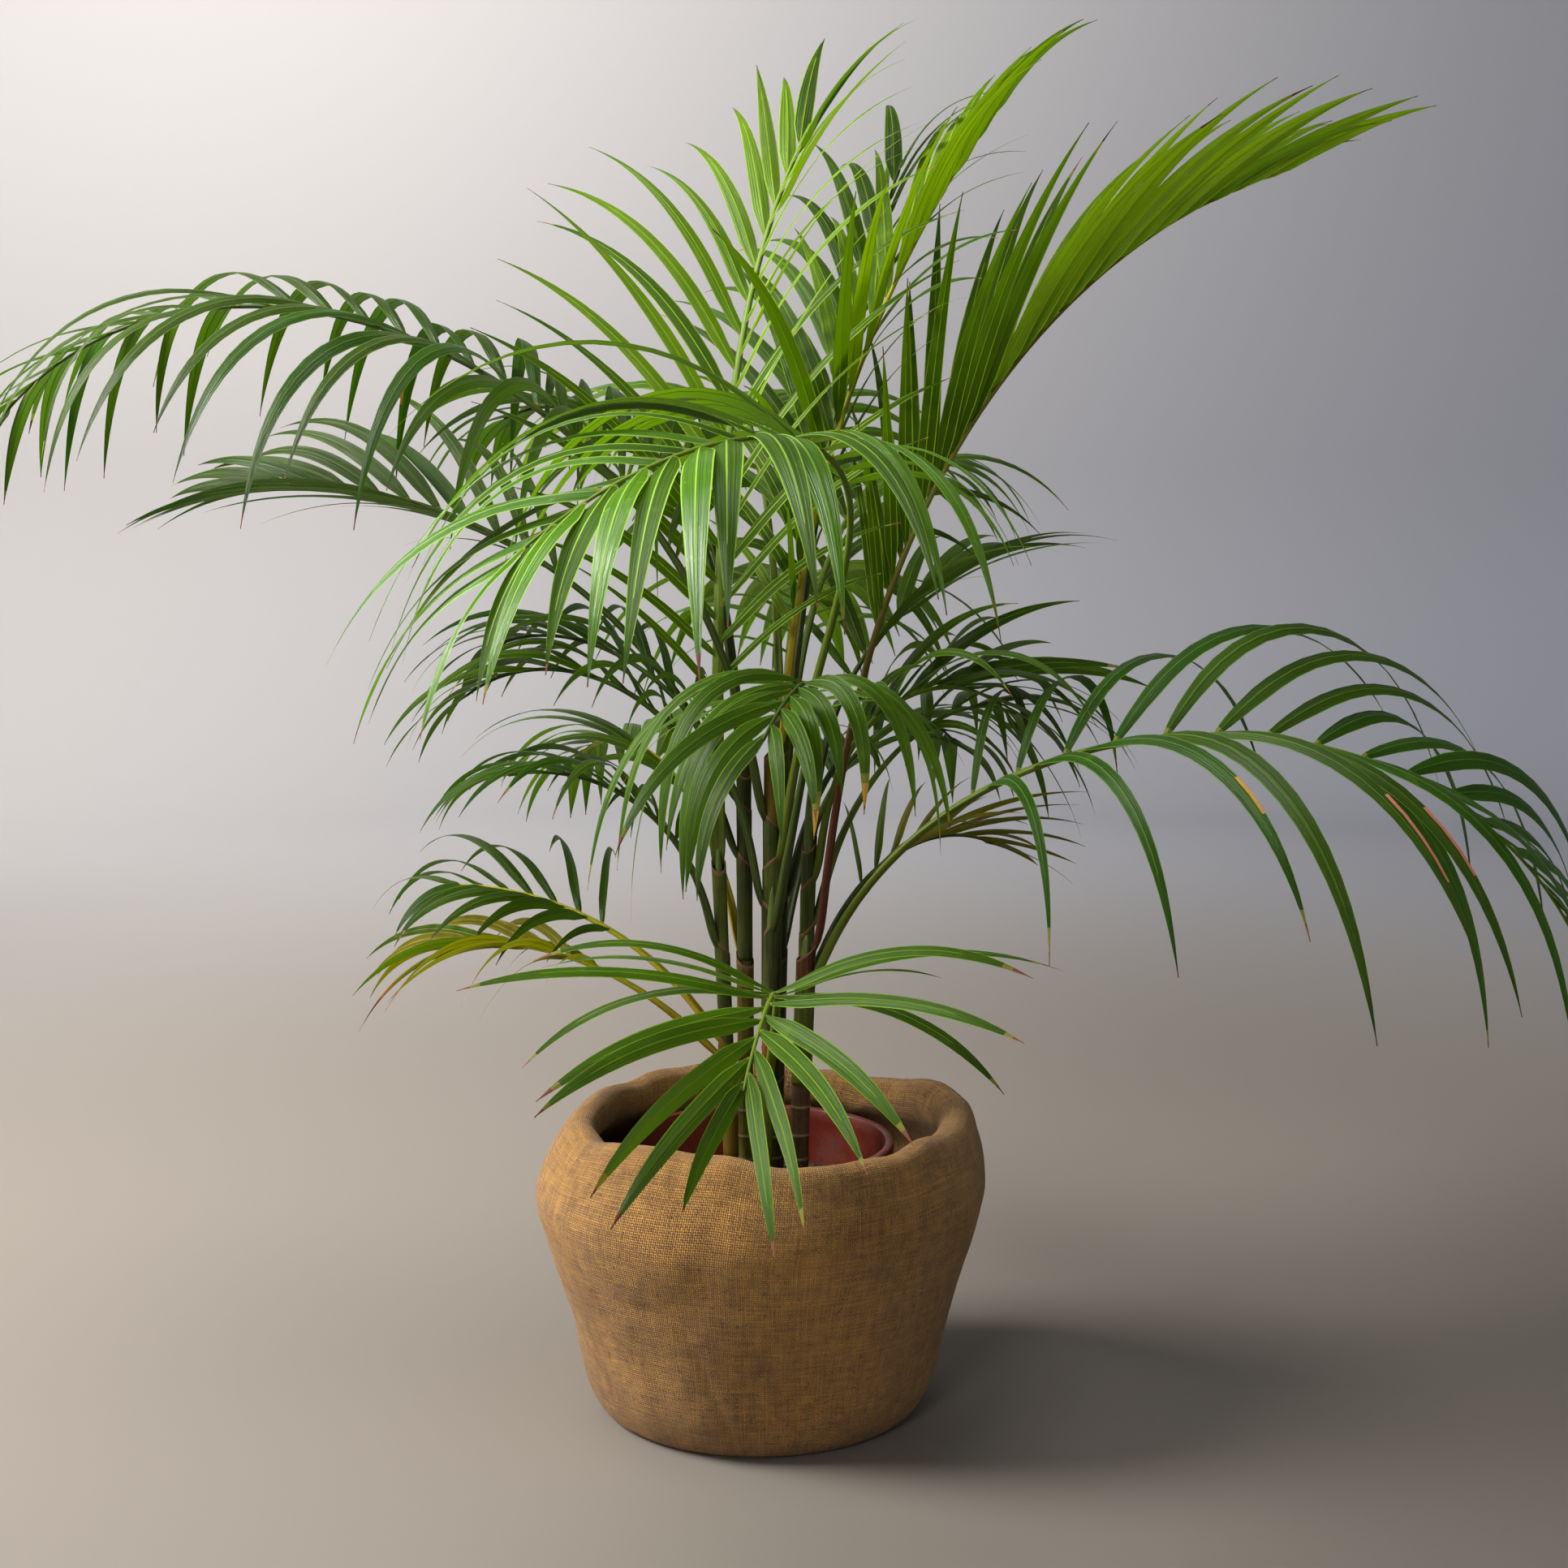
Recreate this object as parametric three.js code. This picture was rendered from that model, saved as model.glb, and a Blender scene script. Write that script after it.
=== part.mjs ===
import * as THREE from "three";

// Potted areca palm. Millimetres, Z up, floor at z = 0, origin under the middle of the cover.
// +X is to the right and -Y to the front, seen from the side the palm is shown from.

// Jute cover
const COVER_BASE_RADIUS = 145;
const COVER_BULGE_RADIUS = 199;
const COVER_BULGE_HEIGHT = 185;
const COVER_RIM_RADIUS = 166;
const COVER_RIM_HEIGHT = 265;
const COVER_RIM_SHIFT = 10;
const COVER_WALL = 5;
const COVER_HEM = 16;
const COVER_SIDES = 36;
const COVER_WAVES = [[3, 1.1, 3.5], [5, -0.6, 2.5], [1, 0, 2]];
const COVER_PUCKER = [4, 0.4, 3.5];

// Nursery pot and soil
const POT_DIAMETER = 240;
const POT_RIM_HEIGHT = 238;
const POT_FOOT_RADIUS = 90;
const POT_WALL = 2.5;
const POT_LIP = 5;
const POT_LIP_HEIGHT = 12;
const SOIL_HEIGHT = 192;
const POT_SIDES = 32;

// Joints between solids
const CLEAR = 0.3;

// Canes
const CANE_SIDES = 10;
const CANE_RINGS = 4;

// Fronds
const PETIOLE_HALF_WIDTH = 4.6;
const PETIOLE_DEPTH = 8;
const TIP_HALF_WIDTH = 1.1;
const TIP_DEPTH = 2;
const PETIOLE_STEP = 70;
const LEAFLET_BASE = 8;
const LEAFLET_THICKNESS = 3;
const LEAFLET_CLEARANCE = 0.8;
const RIB_STEPS = 40;
const BLADE_STEPS = 12;
const PAIR_STAGGER = 0.18;
const LONGEST_AT = 0.25;

// Canes: foot and top in plan, height of the top, radius at foot and top
const CANES = {
  left: { foot: [-24, -2], top: [-36, -4], height: 500, radii: [6.5, 4.8] },
  main: { foot: [10, -2], top: [12, 0], height: 600, radii: [10, 6] },
  woody: { foot: [34, -16], top: [42, -14], height: 425, radii: [9.5, 7] },
  right: { foot: [36, 14], top: [46, 20], height: 560, radii: [6.5, 5] },
  back_left: { foot: [-12, 26], top: [-14, 30], height: 625, radii: [7.5, 5] },
  back: { foot: [14, 38], top: [20, 44], height: 640, radii: [8, 5.5] },
  front: { foot: [4, -30], top: [12, -28], height: 470, radii: [6, 4.6] },
};

// Habits of the leaflets: vee is their rise from the blade, spread their angle to the rib at
// its foot and tip, soft their droop, curl how late it comes, twist the turn of their face,
// joints their straight lengths
const HABITS = {
  arching: { vee: 30, spread: [62, 26], soft: 1.9, curl: 1.7, twist: 20, joints: 4 },
  broad: { vee: 26, spread: [70, 24], soft: 1.6, curl: 1.6, twist: -20, joints: 4 },
  small: { vee: 34, spread: [48, 18], soft: 0.9, curl: 1.8, twist: 28, joints: 3 },
  straight: { vee: 28, spread: [38, 15], soft: 0.35, curl: 1.8, twist: 28, joints: 3 },
  upright: { vee: 30, spread: [48, 20], soft: 0.3, curl: 1.8, twist: -28, joints: 3 },
  folded: { vee: 54, spread: [32, 15], soft: 0.2, curl: 1.8, twist: -28, joints: 3 },
  fan: { vee: 20, spread: [94, 14], soft: 0.6, curl: 1.8, twist: -24, joints: 3 },
};

// Fronds. A row gives the cane and the height they leave it at, the azimuth and its swing, the
// lift at the foot, the bend to the tip and how late it comes, the length, the bare share of it,
// the pairs of leaflets, their length and width. What is the frond's own comes last: roll tips
// the blade to one side, uneven makes one side longer, skew twists the sides apart, loose is how
// far leaflets stray, stout thickens the rib
const FROND_KEYS = [
  "name", "habit", "cane", "height", "azimuth", "swing", "lift", "bend", "late", "length", "bare",
  "pairs", "leaf", "wide",
];
const FROND_ROWS = [
  ["upper_left", "arching", "main", 526, 205, -55, 83, 121, 1.13, 975, 0.24, 23, 310, 16,
    { roll: 14, loose: 1.5 }],
  ["front_left", "broad", "main", 490, -35, -128, 83, 126, 1.12, 810, 0.5, 16, 295, 23,
    { roll: 14, uneven: 0.1, twist: 14, skew: 12, soft: 1.6, spread: [76, 26] }],
  ["right_big", "arching", "woody", 387, -30, 58, 71, 127, 0.87, 850, 0.25, 15, 380, 18,
    { roll: -28, vee: 38, soft: 2.1 }],
  ["left_rear", "straight", "back_left", 540, 174, -10, 68, 74, 1.0, 580, 0.42, 11, 245, 14,
    { roll: 24, twist: -28, spread: [44, 18], soft: 0.45 }],
  ["low_left", "small", "left", 318, 188, 0, 46, 52, 1.3, 270, 0.48, 8, 190, 10,
    { spread: [60, 26], soft: 0.8, twist: -50, vee: 14, loose: 1.5 }],
  ["low_left_small", "small", "left", 332, 168, 6, 57, 58, 1.0, 290, 0.45, 7, 170, 13,
    { soft: 1.0, spread: [64, 22], roll: 20, uneven: 0.2, vee: 20 }],
  ["upright_left", "upright", "left", 490, 98, -60, 88, 30, 1.7, 680, 0.2, 17, 285, 16,
    { stout: 1.5 }],
  ["upright_middle", "upright", "main", 590, 12, -2, 87, 33, 1.06, 590, 0.16, 15, 260, 15,
    { vee: 40 }],
  ["upright_right", "folded", "woody", 413, 6, -1, 84, 64, 1.6, 825, 0.34, 18, 290, 16],
  ["low_front", "fan", "front", 300, -80, -25, 57, 103, 1.3, 345, 0.4, 9, 250, 15.5,
    { loose: 1.5 }],
  ["middle_front", "fan", "front", 435, -62, -50, 70, 105, 1.5, 480, 0.46, 11, 205, 13.5,
    { vee: 12, soft: 2.8, spread: [88, 22], uneven: 0.2, loose: 2 }],
  ["low_right_rear", "straight", "right", 385, 23, 2, 67, 93, 1.5, 240, 0.36, 8, 175, 11,
    { spread: [50, 16] }],
  ["right_rear", "straight", "right", 505, 55, -45, 91, 62, 0.9, 290, 0.5, 6, 255, 15,
    { twist: -28, spread: [60, 28], soft: 0.45, vee: 20 }],
  ["middle_left", "small", "back_left", 490, 190, -28, 76, 112, 1.4, 340, 0.34, 8, 200, 14,
    { soft: 1.2 }],
  ["high_left_rear", "small", "back_left", 612, 139, 7, 83, 103, 1.6, 456, 0.35, 10, 240, 18,
    { soft: 1.4 }],
  ["middle_right", "small", "right", 470, -20, 40, 84, 148, 1.9, 310, 0.36, 7, 225, 13,
    { soft: 1.1 }],
  ["upright_rear", "upright", "back", 620, 30, 10, 82, 15, 1.3, 510, 0.2, 13, 250, 16,
    { soft: 0.5 }],
  ["back_high", "arching", "back", 590, 95, 10, 80, 98, 1.1, 640, 0.32, 12, 285, 20, { soft: 1.5 }],
  ["back_right_low", "small", "back", 400, 62, 0, 72, 100, 1.0, 480, 0.36, 9, 225, 17,
    { soft: 1.2 }],
  ["back_left_low", "small", "back_left", 400, 120, 0, 72, 100, 1.0, 440, 0.36, 9, 215, 17,
    { soft: 1.2 }],
  ["back_middle", "broad", "back", 490, 86, 0, 76, 100, 1.0, 560, 0.36, 11, 255, 20],
  ["back_right_high", "small", "back", 540, 60, 10, 82, 102, 1.3, 540, 0.34, 11, 255, 18,
    { soft: 1.3 }],
  ["back_left_high", "small", "back_left", 570, 112, 6, 82, 96, 1.3, 560, 0.34, 11, 255, 18,
    { soft: 1.3 }],
  ["left_low_rear", "small", "left", 415, 214, -35, 80, 92, 1.3, 270, 0.36, 8, 180, 13,
    { soft: 1.2 }],
  ["main_rear_left", "small", "main", 450, 186, -40, 84, 104, 1.4, 400, 0.4, 9, 200, 14,
    { soft: 1.3 }],
  ["rear_right", "straight", "back", 450, 22, -10, 80, 88, 1.3, 330, 0.36, 6, 230, 17,
    { spread: [60, 28], soft: 0.35, twist: 50 }],
  ["right_low", "small", "right", 430, 14, 34, 78, 100, 1.4, 340, 0.42, 6, 220, 13,
    { spread: [58, 20], soft: 1.3 }],
];

const DEG = Math.PI / 180;
const DOWN = new THREE.Vector3(0, 0, -1);

// A repeatable number from 0 to 1
function chance(a, b) {
  const value = Math.sin(a * 12.9898 + b * 78.233) * 43758.5453;
  return value - Math.floor(value);
}

function mix(a, b, share) {
  return a + (b - a) * share;
}

function heading(azimuth, elevation) {
  const a = azimuth * DEG;
  const e = elevation * DEG;
  return new THREE.Vector3(Math.cos(a) * Math.cos(e), Math.sin(a) * Math.cos(e), Math.sin(e));
}

// Weighted sum of vectors, given as pairs of vector and weight
function blend(...terms) {
  const sum = new THREE.Vector3();
  for (const [vector, weight] of terms) sum.addScaledVector(vector, weight);
  return sum;
}

// Closed surface through rings of equal count, with a point or a fan at each end
function loft(rings) {
  const triangles = [];
  const count = rings[0].length;
  const middle = (ring) => blend(...ring.map((point) => [point, 1 / count]));
  const first = middle(rings[0]);
  const last = middle(rings[rings.length - 1]);
  for (let i = 0; i < count; i++) {
    const j = (i + 1) % count;
    triangles.push([first, rings[0][j], rings[0][i]]);
    for (let k = 0; k + 1 < rings.length; k++) {
      const low = rings[k];
      const high = rings[k + 1];
      triangles.push([low[i], low[j], high[j]], [low[i], high[j], high[i]]);
    }
    triangles.push([rings[rings.length - 1][i], rings[rings.length - 1][j], last]);
  }
  return triangles;
}

// Ring of a turned profile point, which place() may shift at each angle
function turnedRing(radius, height, sides, place = (r, z) => [r, z, 0]) {
  const ring = [];
  for (let i = 0; i < sides; i++) {
    const angle = (i / sides) * 2 * Math.PI;
    const [r, z, shift] = place(radius, height, angle);
    ring.push(new THREE.Vector3(shift + r * Math.cos(angle), r * Math.sin(angle), z));
  }
  return ring;
}

// Jute cover: a soft sack, its rim turned in and wavy
function coverTriangles() {
  const wall = COVER_WALL;
  const outside = [
    [COVER_BASE_RADIUS, 0],
    [COVER_BASE_RADIUS + 12, 30],
    [COVER_BASE_RADIUS + 24, 82],
    [COVER_BULGE_RADIUS - 14, 132],
    [COVER_BULGE_RADIUS, COVER_BULGE_HEIGHT],
    [COVER_BULGE_RADIUS - 2, COVER_BULGE_HEIGHT + 28],
    [COVER_BULGE_RADIUS - 12, COVER_RIM_HEIGHT - 24],
    [COVER_RIM_RADIUS + 11, COVER_RIM_HEIGHT - 5],
    [COVER_RIM_RADIUS, COVER_RIM_HEIGHT],
  ];
  const inside = [
    [COVER_RIM_RADIUS - COVER_HEM + 4, COVER_RIM_HEIGHT - 6],
    [COVER_RIM_RADIUS - COVER_HEM, COVER_RIM_HEIGHT - 22],
    [COVER_RIM_RADIUS - COVER_HEM + 6, COVER_RIM_HEIGHT - 34],
    [COVER_BULGE_RADIUS - wall - 12, COVER_BULGE_HEIGHT + 22],
    [COVER_BULGE_RADIUS - wall, COVER_BULGE_HEIGHT],
    [COVER_BULGE_RADIUS - 14 - wall, 132],
    [COVER_BASE_RADIUS + 24 - wall, 82],
    [COVER_BASE_RADIUS + 12 - wall, 30],
    [COVER_BASE_RADIUS - wall, wall],
  ];
  const wavy = (radius, height, angle) => {
    const rise = Math.max(0, (height - COVER_BULGE_HEIGHT) / (COVER_RIM_HEIGHT - COVER_BULGE_HEIGHT));
    const wave = ([count, phase, size]) => size * Math.sin(count * angle + phase) * rise;
    const lift = COVER_WAVES.reduce((sum, one) => sum + wave(one), 0);
    return [radius + wave(COVER_PUCKER), height + lift, COVER_RIM_SHIFT * rise];
  };
  return loft([...outside, ...inside].map(([r, z]) => turnedRing(r, z, COVER_SIDES, wavy)));
}

// Nursery pot: tapered, with a lip round its rim
function potTriangles() {
  const rim = POT_DIAMETER / 2;
  const foot = COVER_WALL + CLEAR;
  const lipFoot = POT_RIM_HEIGHT - POT_LIP_HEIGHT;
  const profile = [
    [POT_FOOT_RADIUS, foot],
    [rim - POT_LIP, lipFoot],
    [rim, lipFoot + 1],
    [rim, POT_RIM_HEIGHT],
    [rim - POT_LIP - POT_WALL, POT_RIM_HEIGHT],
    [rim - POT_LIP - POT_WALL, lipFoot],
    [POT_FOOT_RADIUS - POT_WALL, foot + POT_WALL],
  ];
  return loft(profile.map(([r, z]) => turnedRing(r, z, POT_SIDES)));
}

// Soil: fills the pot to a little below its rim
function soilTriangles() {
  const foot = COVER_WALL + CLEAR + POT_WALL;
  const inner = POT_DIAMETER / 2 - POT_LIP - POT_WALL;
  const share = (SOIL_HEIGHT - foot) / (POT_RIM_HEIGHT - POT_LIP_HEIGHT - foot);
  const low = POT_FOOT_RADIUS - POT_WALL - 2 * CLEAR;
  const high = mix(POT_FOOT_RADIUS - POT_WALL, inner, share) - 2 * CLEAR;
  const profile = [[low, foot + CLEAR], [high, SOIL_HEIGHT]];
  return loft(profile.map(([r, z]) => turnedRing(r, z, POT_SIDES)));
}

// Middle and radius of a cane at a height
function caneAxis(cane, height) {
  const foot = SOIL_HEIGHT + CLEAR;
  const share = (height - foot) / (cane.height - foot);
  return {
    point: new THREE.Vector3(
      mix(cane.foot[0], cane.top[0], share),
      mix(cane.foot[1], cane.top[1], share),
      height,
    ),
    radius: mix(cane.radii[0], cane.radii[1], share),
  };
}

function caneTriangles(cane) {
  const rings = [];
  for (let k = 0; k <= CANE_RINGS; k++) {
    const height = mix(SOIL_HEIGHT + CLEAR, cane.height, k / CANE_RINGS);
    const { point, radius } = caneAxis(cane, height);
    const ring = turnedRing(radius, 0, CANE_SIDES);
    rings.push(ring.map((corner) => corner.add(point)));
  }
  return loft(rings);
}

// A frond by name, with the habit it has and what is its own
function frondOf(row, index) {
  const named = Object.fromEntries(FROND_KEYS.map((key, i) => [key, row[i]]));
  const own = row[FROND_KEYS.length] ?? {};
  return { roll: 0, uneven: 0, stout: 1, skew: 0, loose: 1, ...HABITS[named.habit], ...named, ...own, index };
}

const FRONDS = FROND_ROWS.map(frondOf);

// Rib: points and directions along its arch, from a foot just clear of its cane
function ribLine(frond) {
  const { point, radius } = caneAxis(CANES[frond.cane], frond.height);
  const out = heading(frond.azimuth, 0);
  const place = point.addScaledVector(out, radius + CLEAR);
  const points = [place.clone()];
  const directions = [];
  for (let i = 0; i < RIB_STEPS; i++) {
    const share = (i + 0.5) / RIB_STEPS;
    const elevation = frond.lift - frond.bend * share ** frond.late;
    const direction = heading(frond.azimuth + frond.swing * share, elevation);
    directions.push(direction);
    place.addScaledVector(direction, frond.length / RIB_STEPS);
    points.push(place.clone());
  }
  directions.push(directions[RIB_STEPS - 1]);
  return { points, directions };
}

// Place, direction, right hand and upper side of the rib at a share of its length
function ribFrame(frond, line, share) {
  const place = Math.min(Math.max(share, 0), 1) * RIB_STEPS;
  const step = Math.min(Math.floor(place), RIB_STEPS - 1);
  const point = line.points[step].clone().lerp(line.points[step + 1], place - step);
  const along = line.directions[step].clone().lerp(line.directions[step + 1], place - step).normalize();
  const azimuth = (frond.azimuth + frond.swing * share) * DEG;
  const level = new THREE.Vector3(Math.sin(azimuth), -Math.cos(azimuth), 0);
  const right = level.addScaledVector(along, -level.dot(along)).normalize();
  const up = right.clone().cross(along);
  const roll = frond.roll * DEG * Math.min(1, share / frond.bare);
  const rolled = blend([right, Math.cos(roll)], [up, Math.sin(roll)]);
  return { point, along, right: rolled, up: rolled.clone().cross(along) };
}

// Corner of the three-sided rib: -1 left, 1 right, 0 keel
function ribCorner(frond, line, share, side) {
  const { point, right, up } = ribFrame(frond, line, share);
  const half = frond.stout * mix(PETIOLE_HALF_WIDTH, TIP_HALF_WIDTH, share ** 0.8);
  const depth = frond.stout * mix(PETIOLE_DEPTH, TIP_DEPTH, share ** 0.7);
  if (side === 0) return point.addScaledVector(up, -depth);
  return point.addScaledVector(right, side * half);
}

// Share of full size of a leaflet: short at the foot, longest at a quarter, shorter to the tip
function leafletSize(place) {
  if (place < LONGEST_AT) return mix(0.62, 1, place / LONGEST_AT);
  return 1 - 0.52 * ((place - LONGEST_AT) / (1 - LONGEST_AT)) ** 1.6;
}

// Width of a leaflet at a share of its length; the first ones on a rib are narrow
function leafletWidth(frond, place, share) {
  const first = mix(0.55, 1, Math.min(1, place / LONGEST_AT));
  return frond.wide * first * Math.sin(Math.PI * (0.17 + 0.83 * share) ** 0.75) ** 0.8;
}

// Rings of a leaflet past its foot; grow makes it fatter all round, tilt raises it
function leafletRings(frond, line, pair, side, grow, tilt) {
  const place = (pair + 0.5 + side * PAIR_STAGGER) / frond.pairs;
  const share = mix(frond.bare, 1, place);
  const { point, along, right, up } = ribFrame(frond, line, share);
  const dice = (salt) => 2 * chance(frond.index + salt, 2 * pair + side) - 1;
  const spread = mix(frond.spread[0], frond.spread[1], place) * (1 + 0.1 * dice(0)) * DEG;
  const vee = (frond.vee * (1 - 0.5 * place) + 7 * frond.loose * dice(50) + tilt) * DEG;
  const start = blend(
    [along, Math.cos(spread)],
    [right, side * Math.cos(vee) * Math.sin(spread)],
    [up, Math.sin(vee) * Math.sin(spread)],
  );
  const uneven = 1 + 0.09 * frond.loose * dice(9) + side * frond.uneven;
  const length = frond.leaf * leafletSize(place) * uneven;
  const soft = frond.soft * (1 + 0.3 * frond.loose * dice(70));
  const twist = (frond.twist + side * frond.skew + 10 * dice(90)) * DEG;
  const fall = Math.acos(-start.z);
  const sink = DOWN.clone().addScaledVector(start, -start.dot(DOWN)).normalize();
  const across = along.clone().addScaledVector(start, -along.dot(start)).normalize();
  const axis = start.clone().cross(sink);
  const centre = point.clone();
  const rings = [];
  for (let k = 0; k < BLADE_STEPS; k++) {
    const turn = fall * (1 - Math.exp(-soft * ((k + 0.5) / BLADE_STEPS) ** frond.curl));
    const direction = blend([start, Math.cos(turn)], [sink, Math.sin(turn)]);
    centre.addScaledVector(direction, length / BLADE_STEPS);
    const bent = across.clone().applyAxisAngle(axis, turn);
    const top = direction.clone().cross(bent).multiplyScalar(side);
    const wide = blend([bent, Math.cos(twist)], [top, Math.sin(twist)]);
    const face = blend([top, Math.cos(twist)], [bent, -Math.sin(twist)]);
    rings.push({ share: (k + 1) / BLADE_STEPS, centre: centre.clone(), wide, face, direction });
  }
  const corners = [];
  for (let j = 1; j < frond.joints; j++) {
    const ring = rings[Math.round((j / frond.joints) * BLADE_STEPS) - 1];
    const half = leafletWidth(frond, place, ring.share) / 2 + grow;
    const middle = ring.centre.clone().addScaledVector(ring.face, grow);
    corners.push([
      middle.clone().addScaledVector(ring.wide, -half),
      middle.clone().addScaledVector(ring.wide, half),
      middle.clone().addScaledVector(ring.face, -LEAFLET_THICKNESS - 2 * grow),
    ]);
  }
  const end = rings[BLADE_STEPS - 1];
  return { corners, tip: end.centre.addScaledVector(end.direction, grow), share };
}

// Triangles of a leaflet from its three-cornered foot to its tip, open at the foot, with the
// diagonals of its faces to one hand or the other
function leafletTriangles(foot, leaflet, side, hand) {
  const triangles = [];
  const add = (a, b, c) => triangles.push(side > 0 ? [a, b, c] : [a, c, b]);
  const rings = [foot, ...leaflet.corners];
  for (let k = 0; k < rings.length; k++) {
    for (let i = 0; i < 3; i++) {
      const j = (i + 1) % 3;
      if (k + 1 === rings.length) {
        add(rings[k][i], leaflet.tip, rings[k][j]);
      } else {
        const [a, b, c, d] = [rings[k][i], rings[k][j], rings[k + 1][i], rings[k + 1][j]];
        if (hand < 0) {
          add(a, c, b);
          add(b, c, d);
        } else {
          add(a, c, d);
          add(a, d, b);
        }
      }
    }
  }
  return triangles;
}

// Foot of a leaflet on the rib: rear and front corner on its edge, and one on the keel
function leafletFoot(frond, line, pair, side) {
  const share = mix(frond.bare, 1, (pair + 0.5 + side * PAIR_STAGGER) / frond.pairs);
  const middle = mix(frond.bare, 1, (pair + 0.5) / frond.pairs);
  const half = (LEAFLET_BASE / 2) * mix(1, 0.6, share) / frond.length;
  return [
    ribCorner(frond, line, share - half, side),
    ribCorner(frond, line, share + half, side),
    ribCorner(frond, line, middle, 0),
  ];
}

// Rib of a frond, with the leaflets that keep() lets through
function frondTriangles(frond, keep) {
  const line = ribLine(frond);
  const triangles = [];
  const corners = (share) => [-1, 1, 0].map((side) => ribCorner(frond, line, share, side));
  const top = (a, b) => triangles.push([a[0], a[1], b[1]], [a[0], b[1], b[0]]);
  const sides = (a, b) => {
    triangles.push([a[1], a[2], b[2]], [a[1], b[2], b[1]]);
    triangles.push([a[0], b[2], a[2]], [a[0], b[0], b[2]]);
  };
  let last = corners(0);
  triangles.push([last[0], last[2], last[1]]);
  const bareSteps = Math.max(2, Math.round(frond.length * frond.bare / PETIOLE_STEP));
  for (let k = 1; k <= bareSteps; k++) {
    const next = corners(frond.bare * k / bareSteps);
    top(last, next);
    sides(last, next);
    last = next;
  }
  for (let pair = 0; pair < frond.pairs; pair++) {
    const left = leafletFoot(frond, line, pair, -1);
    const right = leafletFoot(frond, line, pair, 1);
    const rear = [left[0], right[0], left[2]];
    const front = [left[1], right[1], left[2]];
    top(last, rear);
    sides(last, rear);
    top(rear, front);
    for (const [side, foot] of [[-1, left], [1, right]]) {
      const leaflet = keep(frond, line, pair, side, foot);
      if (leaflet) triangles.push(...leaflet);
      else triangles.push(side > 0 ? [foot[1], foot[0], foot[2]] : [foot[0], foot[1], foot[2]]);
    }
    last = front;
  }
  const tip = ribFrame(frond, line, 1).point;
  triangles.push([last[0], last[1], tip], [last[1], last[2], tip], [last[2], last[0], tip]);
  return triangles;
}

// Box round some triangles
function boxOf(triangles) {
  return new THREE.Box3().setFromPoints(triangles.flat());
}

// Whether an edge passes through a triangle
function pierces(from, to, [a, b, c]) {
  const ray = to.clone().sub(from);
  const ab = b.clone().sub(a);
  const ac = c.clone().sub(a);
  const cross = ray.clone().cross(ac);
  const scale = ab.dot(cross);
  if (Math.abs(scale) < 1e-9) return false;
  const offset = from.clone().sub(a);
  const u = offset.dot(cross) / scale;
  if (u < 0 || u > 1) return false;
  const turned = offset.cross(ab);
  const v = ray.dot(turned) / scale;
  if (v < 0 || u + v > 1) return false;
  const reach = ac.dot(turned) / scale;
  return reach >= 0 && reach <= 1;
}

// Whether two sets of triangles cut each other
function cuts(first, second) {
  for (const one of first) {
    const box = new THREE.Box3().setFromPoints(one);
    for (const two of second) {
      if (!box.intersectsBox(new THREE.Box3().setFromPoints(two))) continue;
      for (let i = 0; i < 3; i++) {
        if (pierces(one[i], one[(i + 1) % 3], two)) return true;
        if (pierces(two[i], two[(i + 1) % 3], one)) return true;
      }
    }
  }
  return false;
}

// Everything a leaflet keeps clear of: the ribs, the canes and the leaflets placed before it
const obstacles = [];

function addObstacle(owner, triangles) {
  obstacles.push({ owner, triangles, box: boxOf(triangles) });
}

// Whether a leaflet is free: all of it from other things, its outer part from the owners it
// grows from, which are its rib and its own pair
function isFree(owners, whole, outer) {
  const box = boxOf(whole);
  return obstacles.every((other) => {
    if (!box.intersectsBox(other.box)) return true;
    return !cuts(owners.includes(other.owner) ? outer : whole, other.triangles);
  });
}

// Whether faces of a leaflet that share no corner cut each other
function cutsItself(triangles) {
  return triangles.some((one, i) => triangles.slice(i + 1).some((two) => {
    return !one.some((corner) => two.includes(corner)) && cuts([one], [two]);
  }));
}

// A leaflet that touches something is raised or lowered a little, else left out
const TILTS = [0, 7, -7, 14, -14, 21, -21];

function clearLeaflet(frond, line, pair, side, foot) {
  const owners = [frond.name, `${frond.name} ${pair}`];
  const turn = frond.twist + side * frond.skew;
  for (const tilt of TILTS) {
    const fat = leafletRings(frond, line, pair, side, LEAFLET_CLEARANCE, tilt);
    const slim = leafletRings(frond, line, pair, side, 0, tilt);
    for (const hand of [turn, -turn]) {
      const leaflet = leafletTriangles(foot, slim, side, hand);
      const around = leafletTriangles(foot, fat, side, hand);
      if (cutsItself(leaflet)) continue;
      if (![leaflet, around].every((one) => isFree(owners, one, one.slice(6)))) continue;
      addObstacle(owners[1], leaflet);
      return leaflet;
    }
  }
  return null;
}

// Indexed geometry, each corner shared by the triangles that meet there
function geometryOf(triangles) {
  const index = new Map();
  const positions = [];
  const faces = [];
  for (const triangle of triangles) {
    for (const corner of triangle) {
      const key = `${corner.x.toFixed(4)} ${corner.y.toFixed(4)} ${corner.z.toFixed(4)}`;
      if (!index.has(key)) {
        index.set(key, positions.length / 3);
        positions.push(corner.x, corner.y, corner.z);
      }
      faces.push(index.get(key));
    }
  }
  const geometry = new THREE.BufferGeometry();
  geometry.setAttribute("position", new THREE.Float32BufferAttribute(positions, 3));
  geometry.setIndex(faces);
  geometry.computeVertexNormals();
  return geometry;
}

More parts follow.
